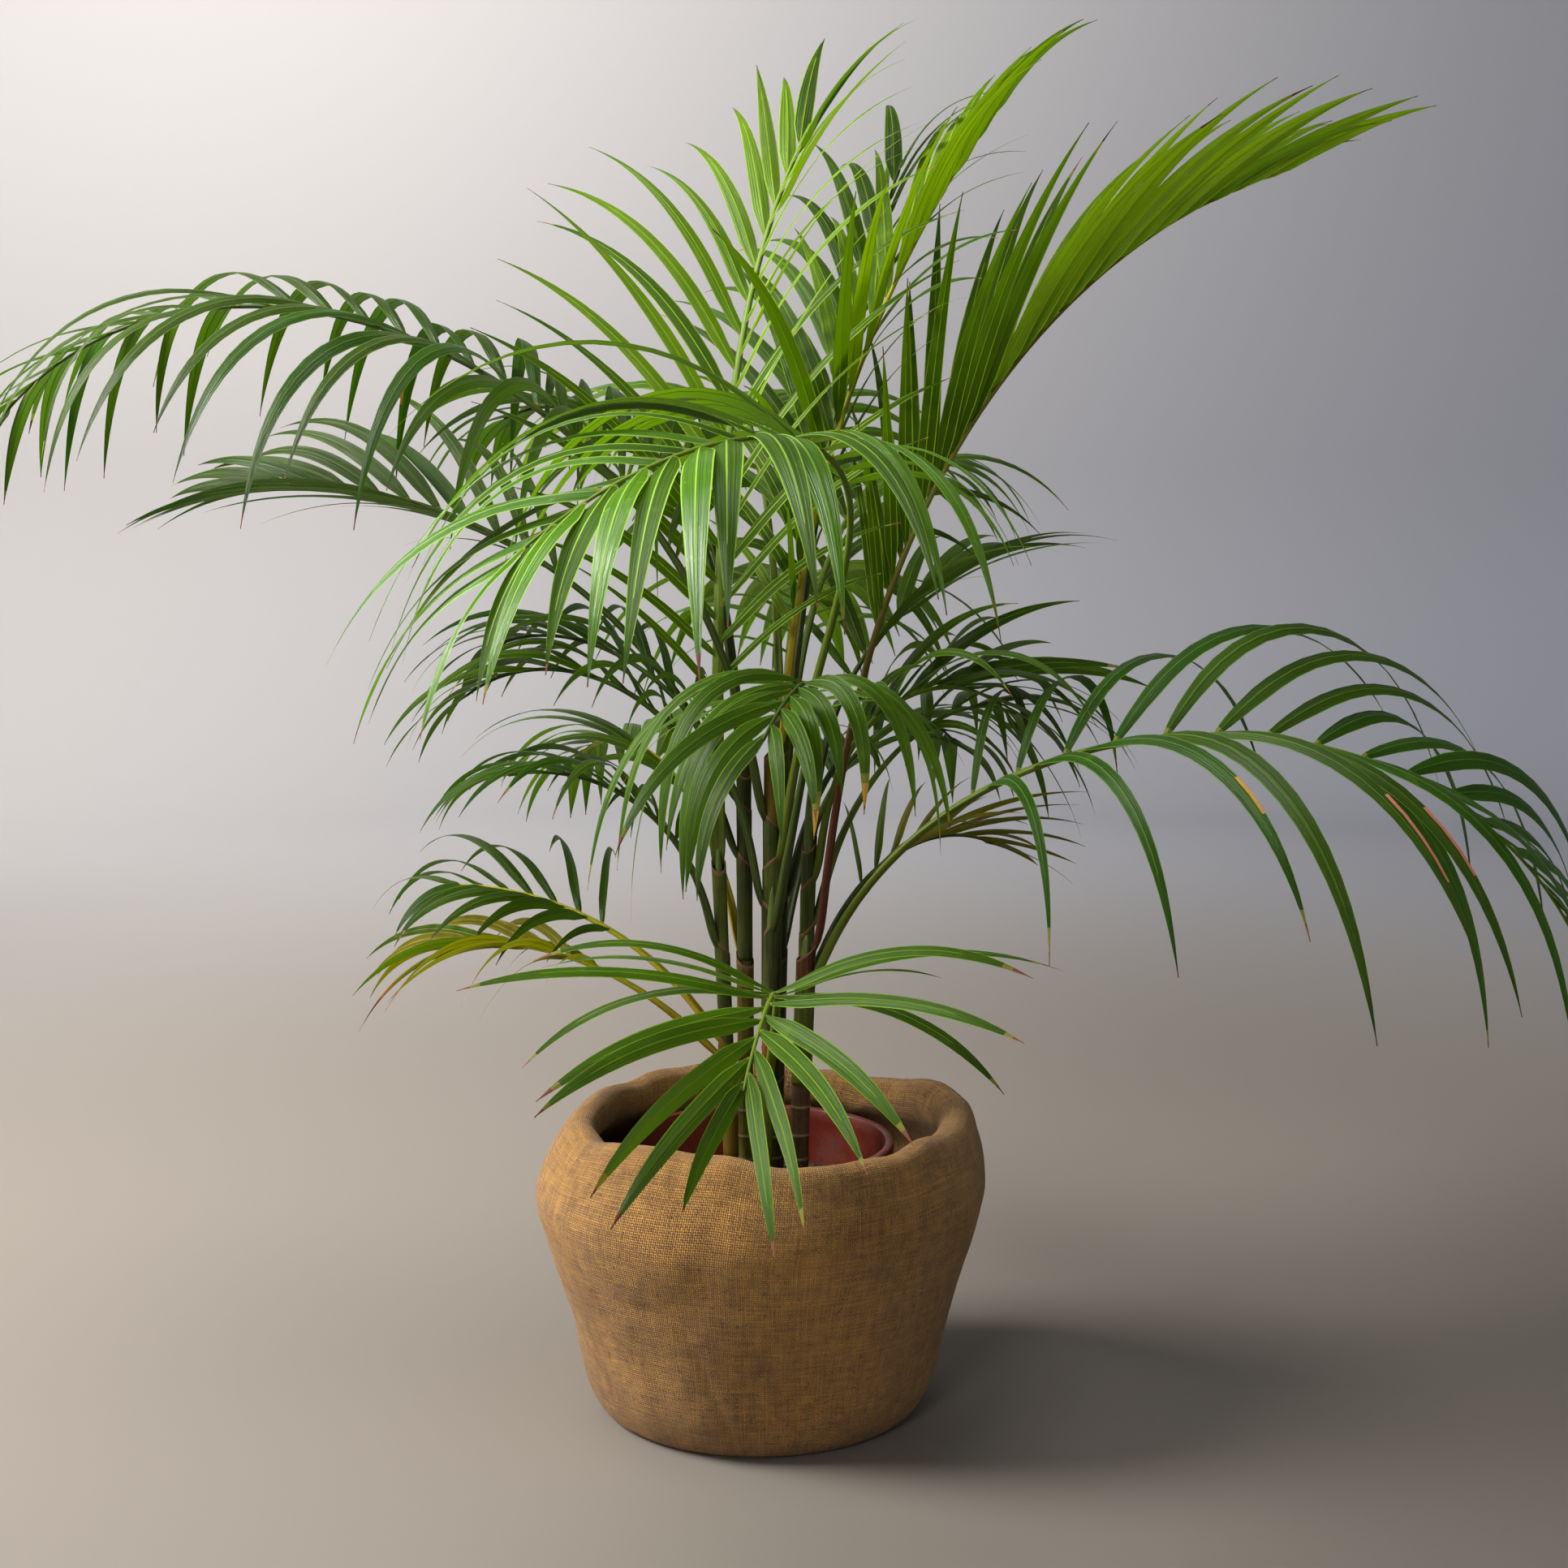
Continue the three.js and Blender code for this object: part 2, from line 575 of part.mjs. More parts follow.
const MATERIALS = {
  jute: new THREE.MeshStandardMaterial({ color: 0xa8835a, roughness: 0.95, metalness: 0 }),
  pot: new THREE.MeshStandardMaterial({ color: 0x6e2a1c, roughness: 0.5, metalness: 0 }),
  soil: new THREE.MeshStandardMaterial({ color: 0x2b2119, roughness: 1, metalness: 0 }),
  cane: new THREE.MeshStandardMaterial({ color: 0x8a7a3a, roughness: 0.6, metalness: 0 }),
  leaf: new THREE.MeshStandardMaterial({ color: 0x3f7a2c, roughness: 0.45, metalness: 0 }),
};

const palm = new THREE.Group();
palm.name = "potted_areca_palm";

function addPart(name, triangles, material) {
  const mesh = new THREE.Mesh(geometryOf(triangles), MATERIALS[material]);
  mesh.name = name;
  palm.add(mesh);
}

addPart("jute_cover", coverTriangles(), "jute");
addPart("nursery_pot", potTriangles(), "pot");
addPart("soil", soilTriangles(), "soil");
addObstacle("jute_cover", coverTriangles());
addObstacle("nursery_pot", potTriangles());

for (const [name, cane] of Object.entries(CANES)) {
  addPart(`cane_${name}`, caneTriangles(cane), "cane");
  addObstacle(`cane_${name}`, caneTriangles(cane));
}

for (const frond of FRONDS) addObstacle(frond.name, frondTriangles(frond, () => null));
for (const frond of FRONDS) addPart(`frond_${frond.name}`, frondTriangles(frond, clearLeaflet), "leaf");

export default palm;
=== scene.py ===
import math

import bpy
import numpy as np
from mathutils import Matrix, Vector, noise
from mathutils.bvhtree import BVHTree


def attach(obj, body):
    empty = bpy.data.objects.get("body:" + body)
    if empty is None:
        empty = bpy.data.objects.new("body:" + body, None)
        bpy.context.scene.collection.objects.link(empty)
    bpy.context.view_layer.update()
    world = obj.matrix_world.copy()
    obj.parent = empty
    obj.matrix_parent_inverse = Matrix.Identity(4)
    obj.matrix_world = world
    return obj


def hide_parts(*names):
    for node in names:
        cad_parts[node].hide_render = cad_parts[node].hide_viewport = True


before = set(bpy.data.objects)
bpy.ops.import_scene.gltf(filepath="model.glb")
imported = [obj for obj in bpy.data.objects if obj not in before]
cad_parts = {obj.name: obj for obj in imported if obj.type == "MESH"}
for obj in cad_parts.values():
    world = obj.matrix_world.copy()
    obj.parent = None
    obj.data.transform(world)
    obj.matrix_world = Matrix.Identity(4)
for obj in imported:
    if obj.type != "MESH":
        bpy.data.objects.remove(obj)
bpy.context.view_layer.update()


# Jute cover: a soft sack of coarse jute cloth that stands on the floor and hides the nursery
# pot. It bellies out above a narrow base, and its wavy rim is rolled inwards as a loose hem.

class Shade:
    """A shader socket. Arithmetic on it adds Math nodes, and node() adds any other node."""

    def __init__(self, tree, socket=None):
        self.tree = tree
        self.socket = socket

    def node(self, kind, settings, values, output=0):
        made = self.tree.nodes.new("ShaderNode" + kind)
        for name, setting in settings.items():
            setattr(made, name, setting)
        for name, value in values.items():
            if isinstance(value, Shade):
                self.tree.links.new(value.socket, made.inputs[name])
            else:
                made.inputs[name].default_value = value
        return Shade(self.tree, made.outputs[output])

    def math(self, operation, *values):
        return self.node("Math", {"operation": operation}, dict(enumerate(values)))

    def __add__(self, other):
        return self.math("ADD", self, other)

    def __radd__(self, other):
        return self.math("ADD", other, self)

    def __sub__(self, other):
        return self.math("SUBTRACT", self, other)

    def __rsub__(self, other):
        return self.math("SUBTRACT", other, self)

    def __mul__(self, other):
        return self.math("MULTIPLY", self, other)

    def __rmul__(self, other):
        return self.math("MULTIPLY", other, self)

    def noise(self, scale, detail=3.0, stretch=(1, 1, 1), roughness=0.5):
        spread = self.node("VectorMath", {"operation": "MULTIPLY"}, {0: self, 1: stretch})
        values = {"Vector": spread, "Scale": scale, "Detail": detail, "Roughness": roughness}
        return self.node("TexNoise", {}, values)

    def step(self, low, high):
        values = {"Value": self, "From Min": low, "From Max": high}
        return self.node("MapRange", {"interpolation_type": "SMOOTHSTEP"}, values)

    def between(self, first, second):
        values = {0: self, 6: first, 7: second}
        return self.node("Mix", {"data_type": "RGBA"}, values, output=2)

    def bump(self, depth, strength=1.0):
        return self.node("Bump", {}, {"Height": self, "Distance": depth, "Strength": strength})


def colour(red, green, blue):
    """A shader colour from the values that a colour picker shows, 0 to 255."""
    def linear(value):
        share = value / 255
        return share / 12.92 if share < 0.04045 else ((share + 0.055) / 1.055) ** 2.4
    return (linear(red), linear(green), linear(blue), 1.0)


def finish(name, look, **plain):
    """A material: plain numbers go on its shader, and look() gives what varies over it."""
    made = bpy.data.materials.new(name)
    made.use_nodes = True
    tree = made.node_tree
    shader = tree.nodes["Principled BSDF"]
    for socket, value in plain.items():
        shader.inputs[socket.replace("_", " ")].default_value = value
    place = Shade(tree).node("TexCoord", {}, {}, output="Object")
    weave = Shade(tree).node("TexCoord", {}, {}, output="UV")
    for socket, shade in look(place, weave).items():
        tree.links.new(shade.socket, shader.inputs[socket])
    return made


def solid(name, points, faces, materials, face_material=None, uv=None):
    """A smooth mesh object made from its points and faces."""
    mesh = bpy.data.meshes.new(name)
    mesh.from_pydata([tuple(p) for p in points], [], faces)
    for material in materials:
        mesh.materials.append(material)
    if face_material is not None:
        mesh.polygons.foreach_set("material_index", np.asarray(face_material, dtype=np.int32))
    mesh.polygons.foreach_set("use_smooth", [True] * len(faces))
    if uv is not None:
        layer = mesh.uv_layers.new(name="weave")
        layer.data.foreach_set("uv", np.asarray(uv, dtype=np.float32).ravel())
    mesh.update()
    made = bpy.data.objects.new(name, mesh)
    bpy.context.scene.collection.objects.link(made)
    return made


def smooth_profile(corners, spacing):
    """Points along a smooth curve through the corners of a turned profile."""
    corners = np.array(corners, dtype=float)
    ahead = np.vstack([2 * corners[0] - corners[1], corners, 2 * corners[-1] - corners[-2]])
    line = []
    for i in range(len(corners) - 1):
        a, b, c, d = ahead[i:i + 4]
        count = max(2, round(np.linalg.norm(c - b) / spacing))
        for k in range(count):
            t = k / count
            line.append(0.5 * (2 * b + (c - a) * t + (2 * a - 5 * b + 4 * c - d) * t ** 2
                               + (3 * b - a - 3 * c + d) * t ** 3))
    return np.array(line + [corners[-1]])


def tube_faces(rings, sides, inward=False):
    """The faces between the rings of a tube, which look outward or inward."""
    faces = []
    for k in range(rings - 1):
        for i in range(sides):
            j = (i + 1) % sides
            a, b = k * sides, (k + 1) * sides
            faces.append((a + i, b + i, b + j, a + j) if inward else (a + i, a + j, b + j, b + i))
    return faces


def tube_uv(across, along):
    """Surface coordinates of a tube's faces, from their values round it and along it."""
    uv = []
    for low, high in zip(along, along[1:]):
        for left, right in zip(across, across[1:]):
            uv += [(left, low), (right, low), (right, high), (left, high)]
    return uv


def turned(line, sides, place):
    """Points, faces and cloth coordinates of a profile turned about Z and closed at both ends."""
    points = []
    for radius, height in line:
        for i in range(sides):
            points.append(place(radius, height, 2 * math.pi * i / sides))
    run = np.concatenate([[0], np.cumsum(np.linalg.norm(np.diff(line, axis=0), axis=1))])
    girth = 2 * math.pi * max(line[:, 0])
    faces = tube_faces(len(line), sides)
    uv = tube_uv([girth * i / sides for i in range(sides + 1)], run)
    for ring, order in ((0, -1), (len(line) - 1, 1)):
        middle = len(points)
        points.append(np.mean(points[ring * sides:(ring + 1) * sides], axis=0))
        for i in range(sides):
            j = (i + 1) % sides
            faces.append((middle, ring * sides + i, ring * sides + j)[::order])
            uv += [(0, 0)] * 3
    return points, faces, uv


COVER_OUTSIDE = [
    (0.130, 0.000), (0.143, 0.004), (0.157, 0.030), (0.169, 0.082), (0.185, 0.132), (0.199, 0.185),
    (0.197, 0.213), (0.187, 0.241), (0.177, 0.260), (0.166, 0.265),
]
COVER_INSIDE = [
    (0.154, 0.259), (0.150, 0.243), (0.156, 0.231), (0.182, 0.207), (0.194, 0.185), (0.180, 0.132),
    (0.164, 0.082), (0.152, 0.030), (0.140, 0.005),
]


def cover_place(radius, height, angle):
    """A point of the sack, which is dented and creased and has a wavy, puckered rim."""
    rise = max(0.0, (height - 0.185) / 0.080)
    lift = 0.0035 * math.sin(3 * angle + 1.1) + 0.0025 * math.sin(5 * angle - 0.6)
    lift += 0.002 * math.sin(angle) + 0.0013 * math.sin(11 * angle + 2.0) + 0.0008 * math.sin(17 * angle)
    pucker = 0.0035 * math.sin(4 * angle + 0.4) * rise
    spot = Vector((math.cos(angle), math.sin(angle), height * 5)) * 2.2
    dent = 0.0032 * noise.noise(spot) + 0.0010 * noise.noise(spot * 2.7 + Vector((7, 1, 3)))
    crease = abs(noise.noise(Vector((math.cos(angle) * 1.6, math.sin(angle) * 1.6, height * 7))))
    dent -= 0.0012 * max(0.0, 1 - 9 * crease)
    settled = min(1.0, height / 0.03)
    radius += pucker + dent * settled
    return (
        0.010 * rise + radius * math.cos(angle),
        radius * math.sin(angle),
        max(0.0, height + lift * rise),
    )


def jute_cloth(place, weave):
    """Plain weave of uneven yarns, darker in the gaps with painted shade, slubby and patchy in tone."""
    wander = place.noise(14, 2.0)
    across = weave.node("SeparateXYZ", {}, {0: weave}, output="X")
    along = weave.node("SeparateXYZ", {}, {0: weave}, output="Y")
    warp = (across * 520.0 + wander * 1.6) * math.pi
    weft = (along * 500.0 + wander * 2.0) * math.pi
    warp_side, weft_side = warp.math("SINE", warp), weft.math("SINE", weft)
    over = (warp_side * weft_side * 2.0).step(-1.0, 1.0)
    warp_round, weft_round = warp.math("ABSOLUTE", warp_side), warp.math("ABSOLUTE", weft_side)
    yarn = over * warp_round + (1 - over) * weft_round
    warp_tone = weave.noise(1, 3.0, (520, 24, 1))
    weft_tone = weave.noise(1, 3.0, (20, 500, 1))
    tone = over * warp_tone + (1 - over) * weft_tone
    slub = weave.noise(1, 2.0, (22, 170, 1)).step(0.60, 0.74)
    patch = place.noise(9, 5.0, roughness=0.65)
    mottle = place.noise(75, 4.0, roughness=0.7)
    yarns = tone.step(0.28, 0.72) * 0.45 + patch.step(0.3, 0.7) * 0.2
    shade = yarns + mottle.step(0.3, 0.7) * 0.25 + slub * 0.15
    cloth = shade.between(colour(88, 50, 10), colour(222, 162, 66))
    gap = yarn.step(0.62, 0.12)
    fleck = place.noise(240, 2.0).step(0.64, 0.70)
    # Painted shade: the gaps between the yarns are darkened towards a deep brown.
    wear_and_gap_shade = (gap * 0.9).between(cloth, colour(50, 32, 14))
    fuzz = place.noise(900, 2.0)
    height = yarn * 0.8 + tone * 0.4 + slub * 0.4 + fuzz * 0.3
    return {
        "Base Color": (fleck * 0.55).between(wear_and_gap_shade, colour(64, 40, 16)),
        "Roughness": 0.86 + 0.1 * fuzz,
        "Normal": height.bump(0.0015, 0.9),
    }


cover_line = np.vstack([
    smooth_profile(COVER_OUTSIDE, 0.004),
    smooth_profile([COVER_OUTSIDE[-1]] + COVER_INSIDE, 0.004)[1:],
])
COVER_SIDES = 300
cover_points, cover_faces, cover_uv = turned(cover_line, COVER_SIDES, cover_place)
jute = finish("jute_cloth", jute_cloth, Sheen_Weight=0.15, Sheen_Roughness=0.6)
cover = solid("jute_sack", cover_points, cover_faces, [jute], uv=cover_uv)
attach(cover, "root")
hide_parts("jute_cover")


# Nursery pot: a thin injection-moulded pot of red-brown plastic, tapered, with a rolled lip
# round its rim. It is matt from use, with dust and splashes of soil near the top.

POT_PROFILE = [
    (0.0885, 0.0053), (0.0900, 0.0068), (0.1150, 0.2255), (0.1192, 0.2266), (0.1200, 0.2275),
    (0.1200, 0.2366), (0.1192, 0.2380), (0.1135, 0.2380), (0.1125, 0.2368), (0.1125, 0.2260),
    (0.0880, 0.0088), (0.0875, 0.0078),
]


def pot_plastic(place, weave):
    """Worn brown-red plastic with a film of dust and dried splashes."""
    dust = place.noise(24, 5.0, roughness=0.65).step(0.42, 0.75)
    splash = place.noise(160, 3.0).step(0.6, 0.68)
    clay = (dust * 0.3).between(colour(110, 32, 14), colour(118, 68, 44))
    return {
        "Base Color": (splash * 0.7).between(clay, colour(58, 40, 28)),
        "Roughness": 0.42 + 0.35 * dust,
        "Normal": place.noise(420, 2.0).bump(0.0002, 0.6),
    }


POT_SIDES = 128
POT_RING_GAP = 0.012
pot_line = []
for low, high in zip(POT_PROFILE, POT_PROFILE[1:]):
    count = max(1, round(math.dist(low, high) / POT_RING_GAP))
    for k in range(count):
        pot_line.append([a + (b - a) * k / count for a, b in zip(low, high)])
pot_line = np.array(pot_line + [POT_PROFILE[-1]])


def pot_place(radius, height, angle):
    return (radius * math.cos(angle), radius * math.sin(angle), height)


pot_points, pot_faces, pot_uv = turned(pot_line, POT_SIDES, pot_place)
plastic = finish("red_brown_plastic", pot_plastic)
pot = solid("plastic_pot", pot_points, pot_faces, [plastic], uv=pot_uv)
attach(pot, "root")
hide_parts("nursery_pot")


# Soil: dark peat compost that fills the pot to a little below its rim, its top lumpy, with
# crumbs, bark chips and a few white grains of perlite lying on it.

SOIL_TOP = 0.192
SOIL_REACH = 0.1075
SOIL_FOOT_REACH, SOIL_FOOT_HEIGHT = 0.0870, 0.0081
SOIL_RINGS, SOIL_SIDES = 46, 110
CRUMB_COUNT, CRUMB_REACH = 620, 0.104
BARK_FROM, PERLITE_BELOW = 0.72, 0.035


def soil_height(x, y):
    """Height of the lumpy top of the soil."""
    spot = Vector((x, y, 0.3))
    rough = 0.0035 * noise.noise(spot * 26) + 0.0022 * noise.noise(spot * 80)
    return SOIL_TOP - 0.0035 + rough + 0.0010 * noise.noise(spot * 240)


def chance(a, b):
    """A repeatable number from 0 to 1."""
    value = math.sin(a * 12.9898 + b * 78.233) * 43758.5453
    return value - math.floor(value)


def end_faces(rings, sides, inward=False):
    """The flat faces that close a tube at its first and at its last ring."""
    last = (rings - 1) * sides
    ends = [list(range(sides))[::-1], [last + i for i in range(sides)]]
    return [end[::-1] for end in ends] if inward else ends


soil_points = []
for ring in range(SOIL_RINGS + 1):
    for i in range(SOIL_SIDES):
        angle = 2 * math.pi * i / SOIL_SIDES
        reach = SOIL_REACH * max(ring, 0.02) / SOIL_RINGS
        x, y = reach * math.cos(angle), reach * math.sin(angle)
        soil_points.append((x, y, soil_height(x, y)))
for i in range(SOIL_SIDES):
    angle = 2 * math.pi * i / SOIL_SIDES
    x, y = SOIL_FOOT_REACH * math.cos(angle), SOIL_FOOT_REACH * math.sin(angle)
    soil_points.append((x, y, SOIL_FOOT_HEIGHT))
soil_faces = tube_faces(SOIL_RINGS + 2, SOIL_SIDES, inward=True)
soil_faces += end_faces(SOIL_RINGS + 2, SOIL_SIDES, inward=True)
soil_tint = [0] * len(soil_faces)

CRUMB = [
    (0, 0, 1), (0.89, 0, 0.45), (0.28, 0.85, 0.45), (-0.72, 0.53, 0.45), (-0.72, -0.53, 0.45),
    (0.28, -0.85, 0.45), (0.72, 0.53, -0.45), (-0.28, 0.85, -0.45), (-0.89, 0, -0.45),
    (-0.28, -0.85, -0.45), (0.72, -0.53, -0.45), (0, 0, -1),
]
CRUMB_FACES = [
    (0, 1, 2), (0, 2, 3), (0, 3, 4), (0, 4, 5), (0, 5, 1), (1, 6, 2), (2, 7, 3), (3, 8, 4),
    (4, 9, 5), (5, 10, 1), (2, 6, 7), (3, 7, 8), (4, 8, 9), (5, 9, 10), (1, 10, 6), (11, 7, 6),
    (11, 8, 7), (11, 9, 8), (11, 10, 9), (11, 6, 10),
]
for n in range(CRUMB_COUNT):
    reach, angle = CRUMB_REACH * math.sqrt(chance(n, 1)), 2 * math.pi * chance(n, 2)
    x, y = reach * math.cos(angle), reach * math.sin(angle)
    kind = chance(n, 3)
    size = 0.0012 + 0.0028 * chance(n, 4) ** 2
    shape = (size, size * 0.85, size * 0.7)
    if kind > BARK_FROM:
        shape = (size * 2.4, size * 1.1, size * 0.6)
    turn = 2 * math.pi * chance(n, 5)
    base = len(soil_points)
    for k, corner in enumerate(CRUMB):
        uneven = 0.75 + 0.5 * chance(n * 12 + k, 6)
        px, py = corner[0] * shape[0] * uneven, corner[1] * shape[1] * uneven
        soil_points.append((
            x + px * math.cos(turn) - py * math.sin(turn),
            y + px * math.sin(turn) + py * math.cos(turn),
            soil_height(x, y) + shape[2] * (0.35 + corner[2] * uneven),
        ))
    soil_faces += [tuple(base + k for k in face) for face in CRUMB_FACES]
    soil_tint += [2 if kind < PERLITE_BELOW else int(kind > BARK_FROM)] * len(CRUMB_FACES)


def peat(place, weave):
    """Crumbly dark brown compost."""
    tone = place.noise(190, 4.0, roughness=0.7).step(0.3, 0.75)
    return {
        "Base Color": tone.between(colour(34, 24, 17), colour(84, 62, 44)),
        "Normal": place.noise(700, 4.0).bump(0.0010, 0.9),
    }


def bark_chip(place, weave):
    """Reddish brown chips."""
    tone = place.noise(260, 3.0)
    return {
        "Base Color": tone.step(0.3, 0.7).between(colour(70, 46, 28), colour(134, 96, 62)),
        "Normal": place.noise(900, 2.0).bump(0.0004, 0.7),
    }


def perlite(place, weave):
    """Off-white grains."""
    tone = place.noise(300, 2.0)
    return {
        "Base Color": tone.between(colour(176, 168, 150), colour(226, 220, 206)),
        "Normal": place.noise(1200, 2.0).bump(0.0003, 0.6),
    }


compost = [
    finish("peat", peat, Roughness=0.95),
    finish("bark_chip", bark_chip, Roughness=0.9),
    finish("perlite", perlite, Roughness=0.9),
]
soil = solid("compost", soil_points, soil_faces, compost, soil_tint)
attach(soil, "root")
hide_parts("soil")


# Canes: seven slim stems that rise from the soil in a clump. Their lower part is bare and
# ringed by the scars of old leaves, and higher up the sheaths of the fronds wrap them.

CANES = {
    "left": {"foot": (-24, -2), "top": (-36, -4), "height": 500, "radii": (6.5, 4.8), "skin": "orange"},
    "main": {"foot": (10, -2), "top": (12, 0), "height": 600, "radii": (10, 6), "skin": "green"},
    "woody": {"foot": (34, -16), "top": (42, -14), "height": 425, "radii": (9.5, 7), "skin": "woody"},
    "right": {"foot": (36, 14), "top": (46, 20), "height": 560, "radii": (6.5, 5), "skin": "yellow"},
    "back_left": {"foot": (-12, 26), "top": (-14, 30), "height": 625, "radii": (7.5, 5), "skin": "yellow"},
    "back": {"foot": (14, 38), "top": (20, 44), "height": 640, "radii": (8, 5.5), "skin": "green"},
    "front": {"foot": (4, -30), "top": (12, -28), "height": 470, "radii": (6, 4.6), "skin": "orange"},
}
CANE_FOOT = 192.3
CANE_LEVELS, CANE_SIDES = 60, 28
# Height from which a cane is hidden in its sheaths and shows a green spear at its tip
CROWNS = {"left": 440, "main": 540, "woody": 380, "right": 470, "back_left": 560, "back": 570, "front": 395}
# Cane skins: deep and pale colours and how spotted they are; their own colours darkened as painted shade from
# the fronds overhead.
CANE_COLOURS = {
    "orange": ((74, 34, 8), (128, 74, 18), 0.5),
    "green": ((30, 38, 6), (76, 78, 20), 0.5),
    "woody": ((46, 32, 18), (94, 72, 46), 0.8),
    "yellow": ((54, 56, 8), (104, 98, 26), 0.5),
}


def cane_axis(cane, height):
    """Middle and radius of a cane at a height, in millimetres."""
    share = (height - CANE_FOOT) / (cane["height"] - CANE_FOOT)
    middle = [a + (b - a) * share for a, b in zip(cane["foot"], cane["top"])]
    radius = cane["radii"][0] + (cane["radii"][1] - cane["radii"][0]) * share
    return np.array([middle[0], middle[1], height]), radius


def beside(middle, reach, angle):
    """A point at a reach and an angle from the middle of a cane, in metres."""
    return (middle + [reach * math.cos(angle), reach * math.sin(angle), 0]) / 1000


def scar_heights(index, cane):
    """Heights of a cane's leaf scars, closer together near its foot."""
    heights = []
    height = CANE_FOOT + 12 + 10 * chance(index, 11)
    while height < cane["height"] - 30:
        heights.append(height)
        height += 15 + 0.11 * (height - CANE_FOOT) + 5 * chance(index + height, 12)
    return heights


def cane_skin(deep, pale, spotted):
    """Hard skin streaked lengthways and speckled with small dark marks."""
    def look(place, weave):
        streak = place.noise(1, 4.0, (520, 520, 14), roughness=0.6)
        blotch = place.noise(38, 4.0)
        speck = place.noise(330, 2.0).step(0.62, 0.7)
        skin = (streak.step(0.36, 0.64) * 0.6 + blotch.step(0.35, 0.65) * 0.4).between(deep, pale)
        return {
            "Base Color": (speck * spotted).between(skin, colour(64, 46, 24)),
            "Roughness": 0.42 + 0.3 * streak,
            "Normal": (streak + speck * 0.4).bump(0.0006, 0.5),
        }
    return look


cane_finishes = {}
for name, (deep, pale, spotted) in CANE_COLOURS.items():
    skin = cane_skin(colour(*deep), colour(*pale), spotted)
    cane_finishes[name] = finish(f"{name}_cane", skin, Specular_IOR_Level=0.25)
scar_ring = finish("scar_ring", cane_skin(colour(96, 78, 50), colour(142, 118, 80), 0.3))
spear = finish("spear", cane_skin(colour(52, 70, 10), colour(96, 112, 28), 0.2))
for index, (name, cane) in enumerate(CANES.items()):
    scars = scar_heights(index, cane)
    levels = set(np.linspace(CANE_FOOT, cane["height"], CANE_LEVELS))
    for scar in scars:
        levels.update(scar + step for step in (-4, -2.2, -1.2, -0.4, 0.4, 1.2, 2.6, 4.5))
    levels = sorted(levels)
    points, tints = [], []
    for level in levels:
        middle, radius = cane_axis(cane, level)
        near = min(abs(level - scar) for scar in scars)
        radius *= 0.955 + 0.075 * math.exp(-(near / 1.5) ** 2)
        radius *= min(1.0, 0.12 + 0.88 * math.sqrt(max(0.0, (cane["height"] - level) / 45)))
        for i in range(CANE_SIDES):
            angle = 2 * math.pi * i / CANE_SIDES
            spot = Vector((math.cos(angle) * 2 + index * 5, math.sin(angle) * 2, level / 26))
            bulge = radius * (1 + 0.05 * noise.noise(spot))
            points.append(beside(middle, bulge, angle))
    for low, high in zip(levels, levels[1:]):
        near = min(abs((low + high) / 2 - scar) for scar in scars)
        tints += [2 if low > CROWNS[name] else int(near < 1.3)] * CANE_SIDES
    faces = tube_faces(len(levels), CANE_SIDES) + end_faces(len(levels), CANE_SIDES)
    tints += [0, 0]
    skins = [cane_finishes[cane["skin"]], scar_ring, spear]
    bark = solid(f"bark_{name}", points, faces, skins, tints)
    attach(bark, "root")
    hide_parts(f"cane_{name}")


# Fronds: arching feather leaves. Each has a channelled rib, which leaves its cane out of a
# sheath, and two rows of long glossy leaflets, folded like a roof and hanging at their tips.

HABITS = {
    "arching": {"vee": 30, "spread": (62, 26), "soft": 1.9, "curl": 1.7, "twist": 20},
    "broad": {"vee": 26, "spread": (70, 24), "soft": 1.6, "curl": 1.6, "twist": -20},
    "small": {"vee": 34, "spread": (48, 18), "soft": 0.9, "curl": 1.8, "twist": 28},
    "straight": {"vee": 28, "spread": (38, 15), "soft": 0.35, "curl": 1.8, "twist": 28},
    "upright": {"vee": 30, "spread": (48, 20), "soft": 0.3, "curl": 1.8, "twist": -28},
    "folded": {"vee": 54, "spread": (32, 15), "soft": 0.2, "curl": 1.8, "twist": -28},
    "fan": {"vee": 20, "spread": (94, 14), "soft": 0.6, "curl": 1.8, "twist": -24},
}
FROND_KEYS = (
    "name", "habit", "green", "stalk", "cane", "height", "azimuth", "swing", "lift", "bend", "late",
    "length", "bare", "pairs", "leaf", "wide",
)
